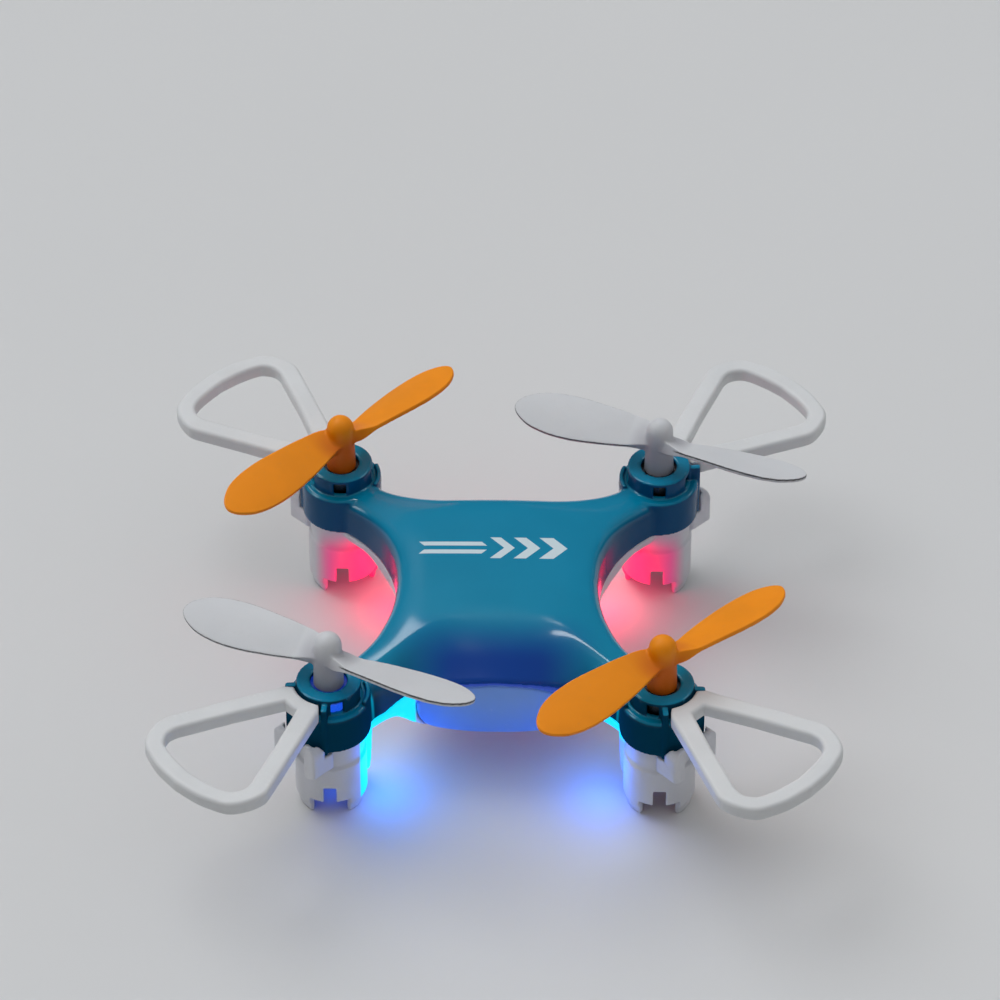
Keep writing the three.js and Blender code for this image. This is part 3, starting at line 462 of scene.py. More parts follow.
def make_lower():
    grid = Grid((-26.0, -26.0, -0.6), (26.0, 26.0, 15.0), 0.2)
    plan, body = body_fields(grid)
    low = low_height(grid.plan_x, grid.plan_y, np.maximum(0, -plan))
    plan = plan[:, :, None]
    hull = meet(meet(plan, -above(grid, low), 0.35), grid.z - (PART_Z - GAP_Z), 0.1)
    # the front wall rises into the upper shell's opening
    front_wall = common(body, grid.z - (arch(grid.x) - GAP_Z), np.abs(grid.x) - 14.1,
                        grid.y + 13.7, 10.2 - grid.z)
    inner = common(plan + WALL, -above(grid, low, lift=0.9), body + WALL)
    solid = cut(either(hull, front_wall), common(inner, 3.9 - nearest_pod(grid)), 0.08)
    for signs in PODS.values():
        solid = add_cup(grid, solid, signs)
    # outside |x| = 14.1 nothing stands higher than 12.45
    solid = common(solid, np.where(np.abs(grid.x) < 14.1, -50.0, grid.z - 12.45))
    solid = cut(solid, common(nose_oval(grid, 0.12), grid.y + 13.3), 0.1)
    solid = add_posts(grid, solid, low)
    slot = meet(np.abs(grid.x) - SLOT_HALF_X, np.abs(grid.y - SLOT_Y) - SLOT_HALF_Y, 0.15)
    solid = cut(solid, common(slot, grid.z - INNER_Z), 0.12)
    port = meet(np.abs(grid.x) - PORT_HALF, slab(grid.z, PORT_Z), 0.3)
    solid = cut(solid, common(port, 12.5 - grid.y), 0.12)
    return field_mesh("lower_shell_white", grid, solid, 0.01)


# ------------------------------------------------------------------ nose panel
def nose_oval(grid, grow):
    """the panel's outline seen from the front, grown a little for the opening"""
    half_width = NOSE_HALF + grow
    abs_x = np.abs(grid.x)
    bulge = np.sqrt(np.clip(1 - (abs_x / half_width) ** 4, 0, 1))
    top, bottom = arch(grid.x) - GAP_Z - 0.35 + grow, 5.2
    middle = (arch(grid.x) + front_low(grid.x)) / 2
    upper = middle + (top - middle) * bulge
    lower = middle + (bottom - middle) * bulge
    return common(grid.z - upper, lower - grid.z, abs_x - half_width)


def make_nose():
    grid = Grid((-10.2, -17.4, 5.4), (10.2, -12.8, 15.0), 0.12)
    edge = front_edge(grid.plan_x)
    # the face leans in at its top and bottom
    lean = 0.35 * ((grid.z - 10.2) / 4.0) ** 2
    face = -grid.y - (edge[:, :, None] - 0.02 - lean)
    low = low_height(grid.plan_x, grid.plan_y, np.maximum(0, grid.plan_y + edge))
    outer = meet(meet(face, nose_oval(grid, 0.0), 0.45), -above(grid, low), 0.5)
    solid = meet(common(outer, -(face + 1.1)), grid.y + 13.6, 0.1)
    return field_mesh("nose_cover_panel", grid, solid)


# ------------------------------------------------------------------ guards
GUARD_TOP, GUARD_H = 17.85, 1.95
# half outlines of the loop: outward from the pod axis, sideways
GUARD_OUTER = [[3.99, 0], [3.9, 0.85], [3.62, 1.7], [3.42, 2.1], [4.2, 3.0], [16.7, 8.4],
               [17.5, 8.62], [18.4, 8.6], [19.6, 8.3], [20.9, 7.7], [21.9, 6.8], [22.6, 5.2],
               [23.2, 3.1], [23.5, 0]]
GUARD_INNER = [[5.9, 0.9], [11.3, 3.45], [16.5, 5.65], [17.6, 6.12], [18.7, 6.25],
               [19.7, 5.8], [20.4, 4.9], [20.95, 2.7], [21.25, 0]]
GUARD_REACH = (1.2, 22.2)                       # grid span from the pod axis, in x and in y
TONGUE_R, TONGUE_ANGLE, TONGUE_Z = (3.96, 4.34), 22, (13.3, 16.9)


def guard_outline(points, sharp_count):
    """whole outline; all but the first sharp_count points are joined by a smooth curve"""
    half = np.vstack([points[:sharp_count], smooth_curve(points[sharp_count:], 8)])
    mirrored = half[::-1] * [1, -1]
    return np.vstack([half, mirrored[np.abs(mirrored[:, 1]) > 1e-9]])


def make_guard(name, signs):
    spans = [sorted(sign * (POD + reach) for reach in GUARD_REACH) for sign in signs]
    low, high = zip(*spans)
    grid = Grid((*low, 12.9), (*high, 18.3), 0.13)
    radius, out, side, _, _ = pod_local(grid, *signs)
    outer = polygon_distance(guard_outline(GUARD_OUTER, 5), out[:, :, 0], side[:, :, 0])
    inner = polygon_distance(guard_outline(GUARD_INNER, 1), out[:, :, 0], side[:, :, 0])
    plan = common(meet(outer, -inner, 0.05), (RING_R + 0.16) - radius[:, :, 0])
    height = np.abs(grid.z - (GUARD_TOP - GUARD_H / 2)) - GUARD_H / 2
    body = meet(plan[:, :, None], height, 0.52)
    body = cut(body, common(radius - 4.95, grid.z - (SHOULDER_Z + 0.12)), 0.08)
    angle = np.degrees(np.arctan2(side, out))
    tongue = common(slab(radius, TONGUE_R), sector(angle, TONGUE_ANGLE, 0.07),
                    slab(grid.z, TONGUE_Z))
    return field_mesh("guard_loop_" + name, grid, either(body, tongue))


# ------------------------------------------------------------------ propellers
BLADE_Z, HUB_BOTTOM, HUB_TOP, PROP_R = 21.6, 17.5, 24.9, 18.4
HUB_R, DOME_Z = 1.6, 23.3
SHAFT_R, SHAFT_TOP = 0.43, 21.3
# how far each propeller is turned at rest, degrees
REST = {"rear_left": 46.0, "rear_right": -20.4, "front_left": -24.1, "front_right": 41.0}
# blade plan: distance along the blade, and the width to the raised and the lowered edge there
EDGE_X = [0.6, 1.6, 3.0, 5.0, 7.5, 10.0, 12.0, 14.0, 15.8, 17.0, 17.8, 18.25, PROP_R]
RAISED = [1.5, 2.0, 2.45, 2.75, 3.0, 3.2, 3.22, 3.05, 2.6, 1.95, 1.3, 0.6, 0.0]
LOWERED = [1.0, 1.2, 1.45, 1.9, 2.35, 2.68, 2.78, 2.66, 2.28, 1.7, 1.1, 0.5, 0.0]
TABLE_STEP = 0.08
TABLE_X = np.arange(-0.5, 19.3, TABLE_STEP)
TABLE_Y = np.arange(-4.6, 4.6, TABLE_STEP)


def blade_table():
    """distances to the blade's plan outline, looked up by blade_fields"""
    lowered = smooth_curve(np.column_stack([EDGE_X, LOWERED]), 6)
    raised = smooth_curve(np.column_stack([EDGE_X, RAISED]), 6)
    outline = np.vstack([lowered, (raised * [1, -1])[::-1]])
    return polygon_distance(outline, TABLE_X[:, None], TABLE_Y[None, :])


BLADE_TABLE = blade_table()


def blade_fields(x, y, z):
    """for blades lying along x: distance to the plan outline, height over the blade's
    middle surface, half thickness"""
    abs_x = np.abs(x)
    y = y * np.where(x >= 0, 1.0, -1.0)
    z = z - BLADE_Z
    t = np.clip((abs_x - 0.6) / (PROP_R - 0.6), 0, 1)
    pitch = np.radians(24 - 9 * t)
    across = y * np.cos(pitch) - z * np.sin(pitch)
    level = y * np.sin(pitch) + z * np.cos(pitch)
    row = np.clip((abs_x - TABLE_X[0]) / TABLE_STEP, 0, len(TABLE_X) - 1.001)
    column = np.clip((across - TABLE_Y[0]) / TABLE_STEP, 0, len(TABLE_Y) - 1.001)
    row = np.broadcast_to(row, column.shape)
    i, j = row.astype(np.int32), column.astype(np.int32)
    part_i, part_j = row - i, column - j
    plan = (BLADE_TABLE[i, j] * (1 - part_i) * (1 - part_j)
            + BLADE_TABLE[i + 1, j] * part_i * (1 - part_j)
            + BLADE_TABLE[i, j + 1] * (1 - part_i) * part_j
            + BLADE_TABLE[i + 1, j + 1] * part_i * part_j)
    camber = 0.22 * (1 - np.clip(across / 3.1, -1, 1) ** 2) * smoothstep(2, 8, abs_x)
    half = 0.27 - 0.02 * t + 0.45 * smoothstep(4.0, 1.3, abs_x)
    return plan, level - camber, half


def move_mesh(obj, matrix):
    """moves a mesh and its stored normals together"""
    mesh = obj.data
    normals = np.zeros(len(mesh.loops) * 3, np.float32)
    mesh.corner_normals.foreach_get("vector", normals)
    normals = normals.reshape(-1, 3) @ np.array(matrix.to_3x3()).T
    mesh.transform(matrix)
    mesh.normals_split_custom_set(normals.tolist())
    mesh.update()


def paint_rim_shadow(mesh):
    """marks a narrow line of painted shadow on the upper face along the blades' edges, standing for a
    shadowed step at the parting line
    """
    points = np.zeros(len(mesh.vertices) * 3, np.float32)
    mesh.vertices.foreach_get("co", points)
    points = points.reshape(-1, 3) * 1e3
    plan, level, _ = blade_fields(points[:, 0], points[:, 1], points[:, 2])
    line = (smoothstep(-0.20, -0.10, plan) * smoothstep(0.0, 0.05, level)
            * smoothstep(0.235, 0.185, level) * smoothstep(2.2, 3.0, np.abs(points[:, 0])))
    attribute = mesh.attributes.new("rim_shadow", "FLOAT", "POINT")
    attribute.data.foreach_set("value", line.astype(np.float32))


def make_propeller(name, signs):
    grid = Grid((-18.8, -4.3, 17.1), (18.8, 4.3, 25.3), 0.1)
    plan, level, half = blade_fields(grid.x, grid.y, grid.z)
    blade = meet(plan, np.abs(level) - half, 0.09)
    radius = np.sqrt(grid.x ** 2 + grid.y ** 2)
    hub_r = HUB_R + 0.15 * np.clip((22.6 - grid.z) / 4.85, 0, 1)
    dome = np.sqrt(radius ** 2 + np.maximum(0, grid.z - DOME_Z) ** 2) - HUB_R
    hub = common(np.where(grid.z > DOME_Z, dome, radius - hub_r), grid.z - HUB_TOP - 0.2)
    body = join(meet(hub, HUB_BOTTOM - grid.z, 0.15), blade, 0.4)
    body = cut(body, common(radius - SHAFT_R, grid.z - SHAFT_TOP), 0.03)
    obj = field_mesh("propeller_blades_" + name, grid, body)
    paint_rim_shadow(obj.data)
    shift = Matrix.Translation((signs[0] * POD * MM, signs[1] * POD * MM, 0))
    move_mesh(obj, shift @ Matrix.Rotation(math.radians(REST[name]), 4, "Z"))
    return obj


# ------------------------------------------------------------------ node helpers
class Tree:
    """short calls that add nodes to a node tree"""
    def __init__(self, tree):
        self.tree = tree

    def put(self, socket, value):
        if isinstance(value, bpy.types.NodeSocket):
            self.tree.links.new(value, socket)
        else:
            socket.default_value = value

    def node(self, kind, inputs={}, **settings):
        node = self.tree.nodes.new(kind)
        for name, value in settings.items():
            setattr(node, name, value)
        for key, value in inputs.items():
            self.put(node.inputs[key], value)
        return node

    def math(self, operation, *values):
        inputs = dict(enumerate(values))
        return self.node("ShaderNodeMath", inputs, operation=operation).outputs[0]

    def mul(self, first, second):
        return self.math("MULTIPLY", first, second)

    def add(self, first, second):
        return self.math("ADD", first, second)

    def sub(self, first, second):
        return self.math("SUBTRACT", first, second)

    def every(self, *masks):
        return reduce(self.mul, masks)

    def fade(self, value, *, on, off, kind="SMOOTHSTEP"):
        """1 where value is at on, 0 where it is at off, smooth between"""
        inputs = {"Value": value, "From Min": min(on, off), "From Max": max(on, off),
                  "To Min": float(on < off), "To Max": float(on > off)}
        return self.node("ShaderNodeMapRange", inputs, interpolation_type=kind).outputs[0]


class Material(Tree):
    def __init__(self, name):
        self.material = bpy.data.materials.new(name)
        self.material.use_nodes = True
        super().__init__(self.material.node_tree)
        self.tree.nodes.clear()
        self.output = self.node("ShaderNodeOutputMaterial")
        self.bsdf = self.node("ShaderNodeBsdfPrincipled")
        self.put(self.output.inputs[0], self.bsdf.outputs[0])

    def position(self):
        """object position in millimetres"""
        metres = self.node("ShaderNodeTexCoord").outputs["Object"]
        inputs = {0: metres, "Scale": 1000.0}
        return self.node("ShaderNodeVectorMath", inputs, operation="SCALE").outputs[0]

    def xyz(self, vector):
        return tuple(self.node("ShaderNodeSeparateXYZ", {0: vector}).outputs)

    def geometry(self, output):
        return self.node("ShaderNodeNewGeometry").outputs[output]

    def mix(self, share, first, second, blend="MIX"):
        inputs = {0: share, 6: first, 7: second}
        return self.node("ShaderNodeMix", inputs, data_type="RGBA", blend_type=blend).outputs[2]

    def add_glow(self, glow, mask, colour):
        return self.mix(1.0, glow, self.mix(mask, grey(0.0), colour), "ADD")

    def noise(self, vector, *, scale, detail, rough):
        inputs = {"Vector": vector, "Scale": scale, "Detail": detail, "Roughness": rough}
        return self.node("ShaderNodeTexNoise", inputs).outputs["Fac"]

    def bump(self, height, *, strength, metres, **under):
        """under may hold Normal, a bump below this one"""
        inputs = {"Strength": strength, "Distance": metres, "Height": height, **under}
        return self.node("ShaderNodeBump", inputs).outputs[0]

    def surface(self, colour, rough, normal=None, **others):
        values = {"Base_Color": colour, "Roughness": rough, **others}
        if normal is not None:
            values["Normal"] = normal
        for name, value in values.items():
            self.put(self.bsdf.inputs[name.replace("_", " ")], value)

    def subsurface(self, *, weight, radius):
        """radius in metres for red, green, blue"""
        self.bsdf.inputs["Subsurface Weight"].default_value = weight
        self.bsdf.inputs["Subsurface Radius"].default_value = radius
        self.bsdf.inputs["Subsurface Scale"].default_value = 1.0


def rgb(*levels):
    """sRGB bytes to a linear colour"""
    shares = [level / 255 for level in levels]
    return (*(s / 12.92 if s <= 0.04045 else ((s + 0.055) / 1.055) ** 2.4 for s in shares), 1.0)


def grey(value):
    return (value, value, value, 1.0)


def shaded(colour, factor):
    return tuple(part * factor for part in colour[:3]) + (1,)


def moulded(mat, base, *, vary=0.06, rough=0.42, grain=0.5, speck=0.04, edge=0.12):
    """moulded plastic: vary is the slow tone change, grain the bump, speck the faint dark
    spots, edge the share of lighter outer edges (part wear, part painted highlight) and of painted
    shade in hollows.
    Returns position, colour, roughness and normal."""
    place = mat.position()
    slow = mat.noise(place, scale=0.16, detail=3, rough=0.55)
    fine = mat.noise(place, scale=9.0, detail=4, rough=0.6)
    spot = mat.noise(place, scale=3.1, detail=2, rough=0.4)
    shade = 1 - vary * 2.2
    if isinstance(base, bpy.types.NodeSocket):
        dark = mat.mix(1.0, base, grey(shade), "MULTIPLY")
    else:
        dark = shaded(base, shade)
    colour = mat.mix(mat.fade(slow, on=0.32, off=0.66), base, dark)
    colour = mat.mix(mat.mul(mat.fade(spot, on=0.74, off=0.62), speck), colour, grey(0.25))
    # about 0.5 on flats, more on outer edges, less in hollows
    bend = mat.geometry("Pointiness")
    # lighter outer edges are part wear and part painted highlight; the darker hollows below are
    # painted shade
    colour = mat.mix(mat.mul(mat.fade(bend, on=0.60, off=0.515), edge), colour, grey(0.95))
    colour = mat.mix(mat.mul(mat.fade(bend, on=0.40, off=0.485), edge * 2.0), colour, grey(0.06))
    roughness = mat.add(mat.mul(fine, 0.14), rough - 0.07)
    roughness = mat.add(roughness, mat.mul(slow, 0.06))
    normal = mat.bump(fine, strength=0.16 * grain, metres=2.2e-5)
    waves = mat.noise(place, scale=1.3, detail=2, rough=0.5)
    normal = mat.bump(waves, strength=0.10 * grain, metres=6e-5, Normal=normal)
    return place, colour, roughness, normal


def from_pod(mat, x, y, end):
    """|x|, distance from the nearest pod axis and offsets from it; end is the y sign"""
    abs_x = mat.math("ABSOLUTE", x)
    dx = mat.sub(abs_x, POD)
    dy = mat.sub(mat.mul(y, end), POD)
    radius = mat.math("SQRT", mat.add(mat.mul(dx, dx), mat.mul(dy, dy)))
    return abs_x, radius, (dx, dy)


def inward(mat, offsets):
    """how far a place lies from the pod axis towards the body's middle"""
    return mat.mul(mat.add(*offsets), -DIAGONAL)


# ------------------------------------------------------------------ shell materials
def white_shell():
    """white, with painted cyan and blue light at the front cups and nose and painted red light at the
    rear cups
    """
    mat = Material("white_shell_plastic")
    place, colour, rough, normal = moulded(mat, rgb(222, 223, 228), vary=0.02, rough=0.42,
                                           grain=0.8)
    x, y, z = mat.xyz(place)
    fade, every = mat.fade, mat.every
    abs_x, front_r, offsets = from_pod(mat, x, y, -1)
    front_in = inward(mat, offsets)
    _, rear_r, offsets = from_pod(mat, x, y, 1)
    rear_in = inward(mat, offsets)
    left = mat.math("LESS_THAN", x, 0.0)
    right = mat.sub(1.0, left)
    # front: painted cyan light on the rib and inner side of each cup, and on the strip along to the
    # nose
    low = mat.math("MAXIMUM", mat.mul(left, fade(z, on=1.7, off=1.0)),
                   mat.mul(right, fade(z, on=7.6, off=6.2)))
    rib = every(fade(front_in, on=4.0, off=3.86), fade(front_r, on=7.2, off=8.4), low)
    strip = every(fade(abs_x, on=9.4, off=9.1), fade(abs_x, on=15.6, off=17.2),
                  fade(y, on=-12.9, off=-12.2), fade(front_r, on=4.5, off=4.3),
                  fade(z, on=7.2, off=6.6))
    side = every(fade(abs_x, on=15.46, off=15.6), fade(front_r, on=5.0, off=5.4),
                 fade(y, on=-14.2, off=-13.6), fade(z, on=1.7, off=1.0), left)
    cyan = every(mat.math("MAXIMUM", rib, side), fade(z, on=11.0, off=11.6))
    cyan = mat.math("MAXIMUM", cyan, strip)
    # painted blue light and shade low inside the front left cup, seen through its notch
    inside = every(fade(front_r, on=3.35, off=3.5), left, fade(z, on=5.5, off=9.0))
    # painted pale blue light round the inner side of the front cups
    halo = every(fade(front_in, on=3.4, off=0.6), fade(front_r, on=6.0, off=8.0),
                 fade(z, on=7.0, off=10.5))
    # rear: painted red light on the side of each cup that faces the body, hottest nearest the body
    red = every(fade(rear_in, on=2.0, off=-0.9), fade(rear_r, on=5.4, off=6.6),
                fade(z, on=6.6, off=10.8))
    hot = every(fade(rear_in, on=3.4, off=1.2), red)
    # outside |x| = 9 at the front: painted shade as a dark band on top, painted blue light below
    brow = every(fade(abs_x, on=9.0, off=9.4), fade(y, on=-13.2, off=-12.8),
                 fade(z, on=11.9, off=11.6))
    near_nose = every(fade(abs_x, on=9.2, off=9.6), fade(y, on=-13.2, off=-12.6),
                      fade(z, on=10.6, off=10.0))
    # painted light and painted shade laid over the white plastic
    # mask, share of it used, colour
    for mask, share, tint in ((halo, 0.22, rgb(140, 165, 240)), (red, 0.85, rgb(235, 70, 130)),
                              (near_nose, 0.9, rgb(92, 122, 222))):
        colour = mat.mix(mat.mul(mask, share), colour, tint)
    for mask, tint in ((brow, rgb(14, 40, 96)), (inside, rgb(10, 36, 120)),
                       (cyan, rgb(0, 200, 235))):
        colour = mat.mix(mask, colour, tint)
    # painted glow: the white plastic itself gives off the red, blue and cyan light
    glow = mat.mix(mat.math("POWER", red, 1.5), grey(0.0),
                   mat.mix(hot, (0.28, 0.008, 0.09, 1), (0.55, 0.0, 0.05, 1)))
    for mask, light in ((inside, (0.0, 0.02, 0.16, 1)), (near_nose, (0.02, 0.05, 0.30, 1)),
                        (cyan, (0.0, 0.62, 0.86, 1))):
        glow = mat.add_glow(glow, mask, light)
    mat.surface(colour, rough, normal, Emission_Color=glow, Emission_Strength=1.0)
    mat.subsurface(weight=0.1, radius=(0.0008, 0.0007, 0.0006))
    return mat.material


# printed mark on the deck, pointing to +X: two stripes, then three arrowheads
MARK_Y, MARK_SLANT = 4.7, 0.9
STRIPE_OFF, STRIPE_X = (0.35, 1.05), (-8.4, -1.0)
ARROWS, ARROW_HALF = ((0.7, 1.25), (3.5, 1.45), (6.5, 1.65)), 1.85     # (start x, width)


def mark_mask(mat, x, y):
    off = mat.math("ABSOLUTE", mat.sub(y, MARK_Y))
    along = mat.add(x, mat.mul(off, MARK_SLANT))

    def between(value, low, high):
        return mat.mul(mat.math("GREATER_THAN", value, low), mat.math("LESS_THAN", value, high))

    mask = mat.mul(between(off, *STRIPE_OFF), between(along, *STRIPE_X))
    for start, width in ARROWS:
        arrow = mat.mul(between(along, start, start + width),
                        mat.math("LESS_THAN", off, ARROW_HALF))
        mask = mat.math("MAXIMUM", mask, arrow)
    return mask


def blue_shell():
    mat = Material("blue_shell_plastic")
    x, y, z = mat.xyz(mat.position())
    fade = mat.fade
    abs_x, front_r, offsets = from_pod(mat, x, y, -1)
    front_in = inward(mat, offsets)
    facing_up = mat.xyz(mat.geometry("Normal"))[2]
    # painted shade: faces that lean away from up take darker wall colours, teal at the front pods and
    # navy elsewhere
    wall = fade(facing_up, on=0.30, off=0.80)
    front = fade(y, on=-13.2, off=-6.0)
    # painted light and shade: the middle of the front slope is painted navy and given a faint painted
    # blue glow
    lit = mat.mul(front, fade(abs_x, on=4.6, off=13.4))
    pod = fade(mat.math("MINIMUM", front_r, from_pod(mat, x, y, 1)[1]), on=5.2, off=6.6)
    fore = fade(y, on=-6.0, off=6.0)
    wall_shade_colour = mat.mix(mat.mul(pod, fore), rgb(0, 78, 122), rgb(8, 66, 92))
    base = mat.mix(wall, rgb(0, 133, 170), wall_shade_colour)
    base = mat.mix(lit, base, rgb(0, 54, 131))
    _, colour, rough, normal = moulded(mat, base, vary=0.02, rough=0.20, grain=0.16, speck=0.0,
                                       edge=0.0)
    mark = mat.mul(mark_mask(mat, x, y), mat.math("GREATER_THAN", z, 16.3))
    colour = mat.mix(mark, colour, rgb(206, 222, 228))
    # painted glow: a cyan line of light on the inner edge of the shoulder of the front pods
    edge = mat.every(fade(front_in, on=4.4, off=3.6), fade(front_r, on=4.95, off=5.3),
                     fade(z, on=15.0, off=15.8), mat.math("LESS_THAN", y, 0.0),
                     fade(facing_up, on=0.2, off=0.5))
    # painted blue glow on the front slope
    glow = mat.mix(mat.math("POWER", lit, 1.5), grey(0.0), (0.0, 0.008, 0.055, 1))
    glow = mat.add_glow(glow, edge, (0.0, 0.30, 0.45, 1))
    # the mark is duller; walls shine most, level faces keep a faint rest of it
    mark_rough, wall_coat, wall_specular, rest_shine = 0.22, 0.55, 0.14, 0.10
    rough = mat.add(rough, mat.mul(mark, mark_rough))
    shine = fade(facing_up, on=0.62, off=0.05)
    rest = mat.mul(mat.sub(1.0, mat.mul(pod, fore)), rest_shine)
    mat.surface(colour, rough, normal, Emission_Color=glow, Emission_Strength=0.9,
                Coat_Weight=mat.add(mat.mul(shine, wall_coat), rest),
                Specular_IOR_Level=mat.add(mat.mul(shine, wall_specular), rest),
                Coat_Roughness=0.07, IOR=1.5)
    return mat.material


def nose_plastic():
    """pale diffuser with painted blue light and glow, bluer in the middle and low down"""
    mat = Material("nose_diffuser_plastic")
    place, colour, rough, normal = moulded(mat, rgb(122, 164, 222), vary=0.02, rough=0.38,
                                           grain=0.4, speck=0.0, edge=0.05)
    x, _, z = mat.xyz(place)
    # fade gives 1 at |x| = 9.4 and 0 at 3
    ends = mat.fade(mat.math("ABSOLUTE", x), on=9.4, off=3.0)
    lower = mat.fade(z, on=6.2, off=12.5)
    lower_share, blue_share = 0.8, 0.42
    # painted blue light: where this is high the colour turns bluer and the painted glow stronger
    blue = mat.mul(mat.math("MAXIMUM", ends, mat.mul(lower, lower_share)), blue_share)
    colour = mat.mix(blue, colour, rgb(60, 112, 236))
    glow = mat.mix(blue, (0.04, 0.10, 0.28, 1), (0.0, 0.16, 0.62, 1))
    mat.surface(colour, rough, normal, Emission_Color=glow, Emission_Strength=0.26,
                Coat_Weight=0.25)
    mat.subsurface(weight=0.3, radius=(0.001, 0.001, 0.0018))
    return mat.material


# ------------------------------------------------------------------ other materials
def plastic(name, base, **look):
    mat = Material(name)
    _, *surface = moulded(mat, base, **look)
    mat.surface(*surface)
    mat.subsurface(weight=0.08, radius=(0.0008, 0.0006, 0.0005))
    return mat.material


def metal(name, base, *, rough=0.3, scale=6.0, stretch=(1, 1, 12)):
    """metal with fine lines; stretch multiplies the place along x, y and z"""
    mat = Material(name)
    place = mat.position()
    stretched = mat.node("ShaderNodeVectorMath", {0: place, 1: stretch}, operation="MULTIPLY")
    lines = mat.noise(stretched.outputs[0], scale=scale, detail=4, rough=0.6)
    slow = mat.noise(place, scale=0.5, detail=2, rough=0.5)
    colour = mat.mix(mat.fade(slow, on=0.3, off=0.7), base, shaded(base, 0.72))
    colour = mat.mix(mat.mul(lines, 0.22), colour, grey(0.25))
    mat.surface(colour, mat.add(mat.mul(lines, 0.22), rough - 0.1), Metallic=1.0,
                normal=mat.bump(lines, strength=0.15, metres=2e-5))
    return mat.material


def lamp(name, base, glow):
    mat = Material(name)
    _, *surface = moulded(mat, base, vary=0.05, rough=0.25, grain=0.2)
    mat.surface(*surface, Emission_Color=glow, Emission_Strength=6.0)
    return mat.material


def board():
    """green solder mask with darker tracks and gold pads"""
    mat = Material("board_solder_mask")
    place = mat.position()
    cells = mat.node("ShaderNodeTexVoronoi", {"Scale": 0.75, "Vector": place},
                     distance="MANHATTAN")
    track = mat.fade(cells.outputs["Distance"], on=0.50, off=0.62)
    colour = mat.mix(track, rgb(16, 84, 46), rgb(10, 58, 34))
    dots = mat.node("ShaderNodeTexVoronoi", {"Scale": 0.55, "Vector": place})
    pad = mat.fade(dots.outputs["Distance"], on=0.10, off=0.16)
    colour = mat.mix(pad, colour, rgb(200, 170, 96))
    mat.surface(colour, 0.32, Metallic=mat.mul(pad, 0.9),
                normal=mat.bump(track, strength=0.3, metres=3e-5))
    return mat.material


def propeller_plastic(name, base, hub_shade, shadow_line_colour, specular, **look):
    """the colour given for the hub is painted shade, deepest near the hub and low down; the colour
    given for the line, if any, is that of the painted shadow line along the blades' edges
    """
    mat = Material(name)
    place, colour, rough, normal = moulded(mat, base, rough=0.46, grain=0.9, edge=0.0, **look)
    x, y, z = mat.xyz(place)
    _, radius, _ = from_pod(mat, x, mat.math("ABSOLUTE", y), 1)
    # painted shade: darker near the hub and low down
    shade = mat.mul(mat.fade(radius, on=1.9, off=4.2), mat.fade(z, on=21.2, off=23.6))
    hub_shade_share, shadow_line_share = 0.75, 0.92
    colour = mat.mix(mat.mul(shade, hub_shade_share), colour, hub_shade)
    if shadow_line_colour is not None:
        # painted shadow line along the blades' edges
        line = mat.node("ShaderNodeAttribute", attribute_name="rim_shadow").outputs["Fac"]
        colour = mat.mix(mat.mul(line, shadow_line_share), colour, shadow_line_colour)
    mat.surface(colour, rough, normal, Specular_IOR_Level=specular)
    mat.subsurface(weight=0.08, radius=(0.0006, 0.0004, 0.0003))
    return mat.material


def motor_can():
    """steel darkened to stand for the shade down in the pods' holes; the front left can has a painted
    blue glow
    """
    mat = Material("motor_can_steel")
    place = mat.position()
    x, y, z = mat.xyz(place)
    lines = mat.noise(place, scale=5.0, detail=4, rough=0.6)
    colour = mat.mix(mat.fade(lines, on=0.3, off=0.7), (0.045, 0.047, 0.052, 1),
                     (0.10, 0.10, 0.11, 1))
    # painted glow: blue light on the front left can, brightest low down by the windows
    lit = mat.every(mat.math("LESS_THAN", x, 0.0), mat.math("LESS_THAN", y, 0.0),
                    mat.fade(z, on=15.8, off=14.8))
    light = mat.mix(mat.fade(z, on=16.9, off=16.6), (0.01, 0.09, 0.75, 1),
                    (0.003, 0.022, 0.22, 1))
    mat.surface(colour, mat.add(mat.mul(lines, 0.2), 0.3), Metallic=1.0,
                normal=mat.bump(lines, strength=0.15, metres=2e-5),
                Emission_Color=mat.mix(lit, grey(0.0), light), Emission_Strength=1.0)
    return mat.material


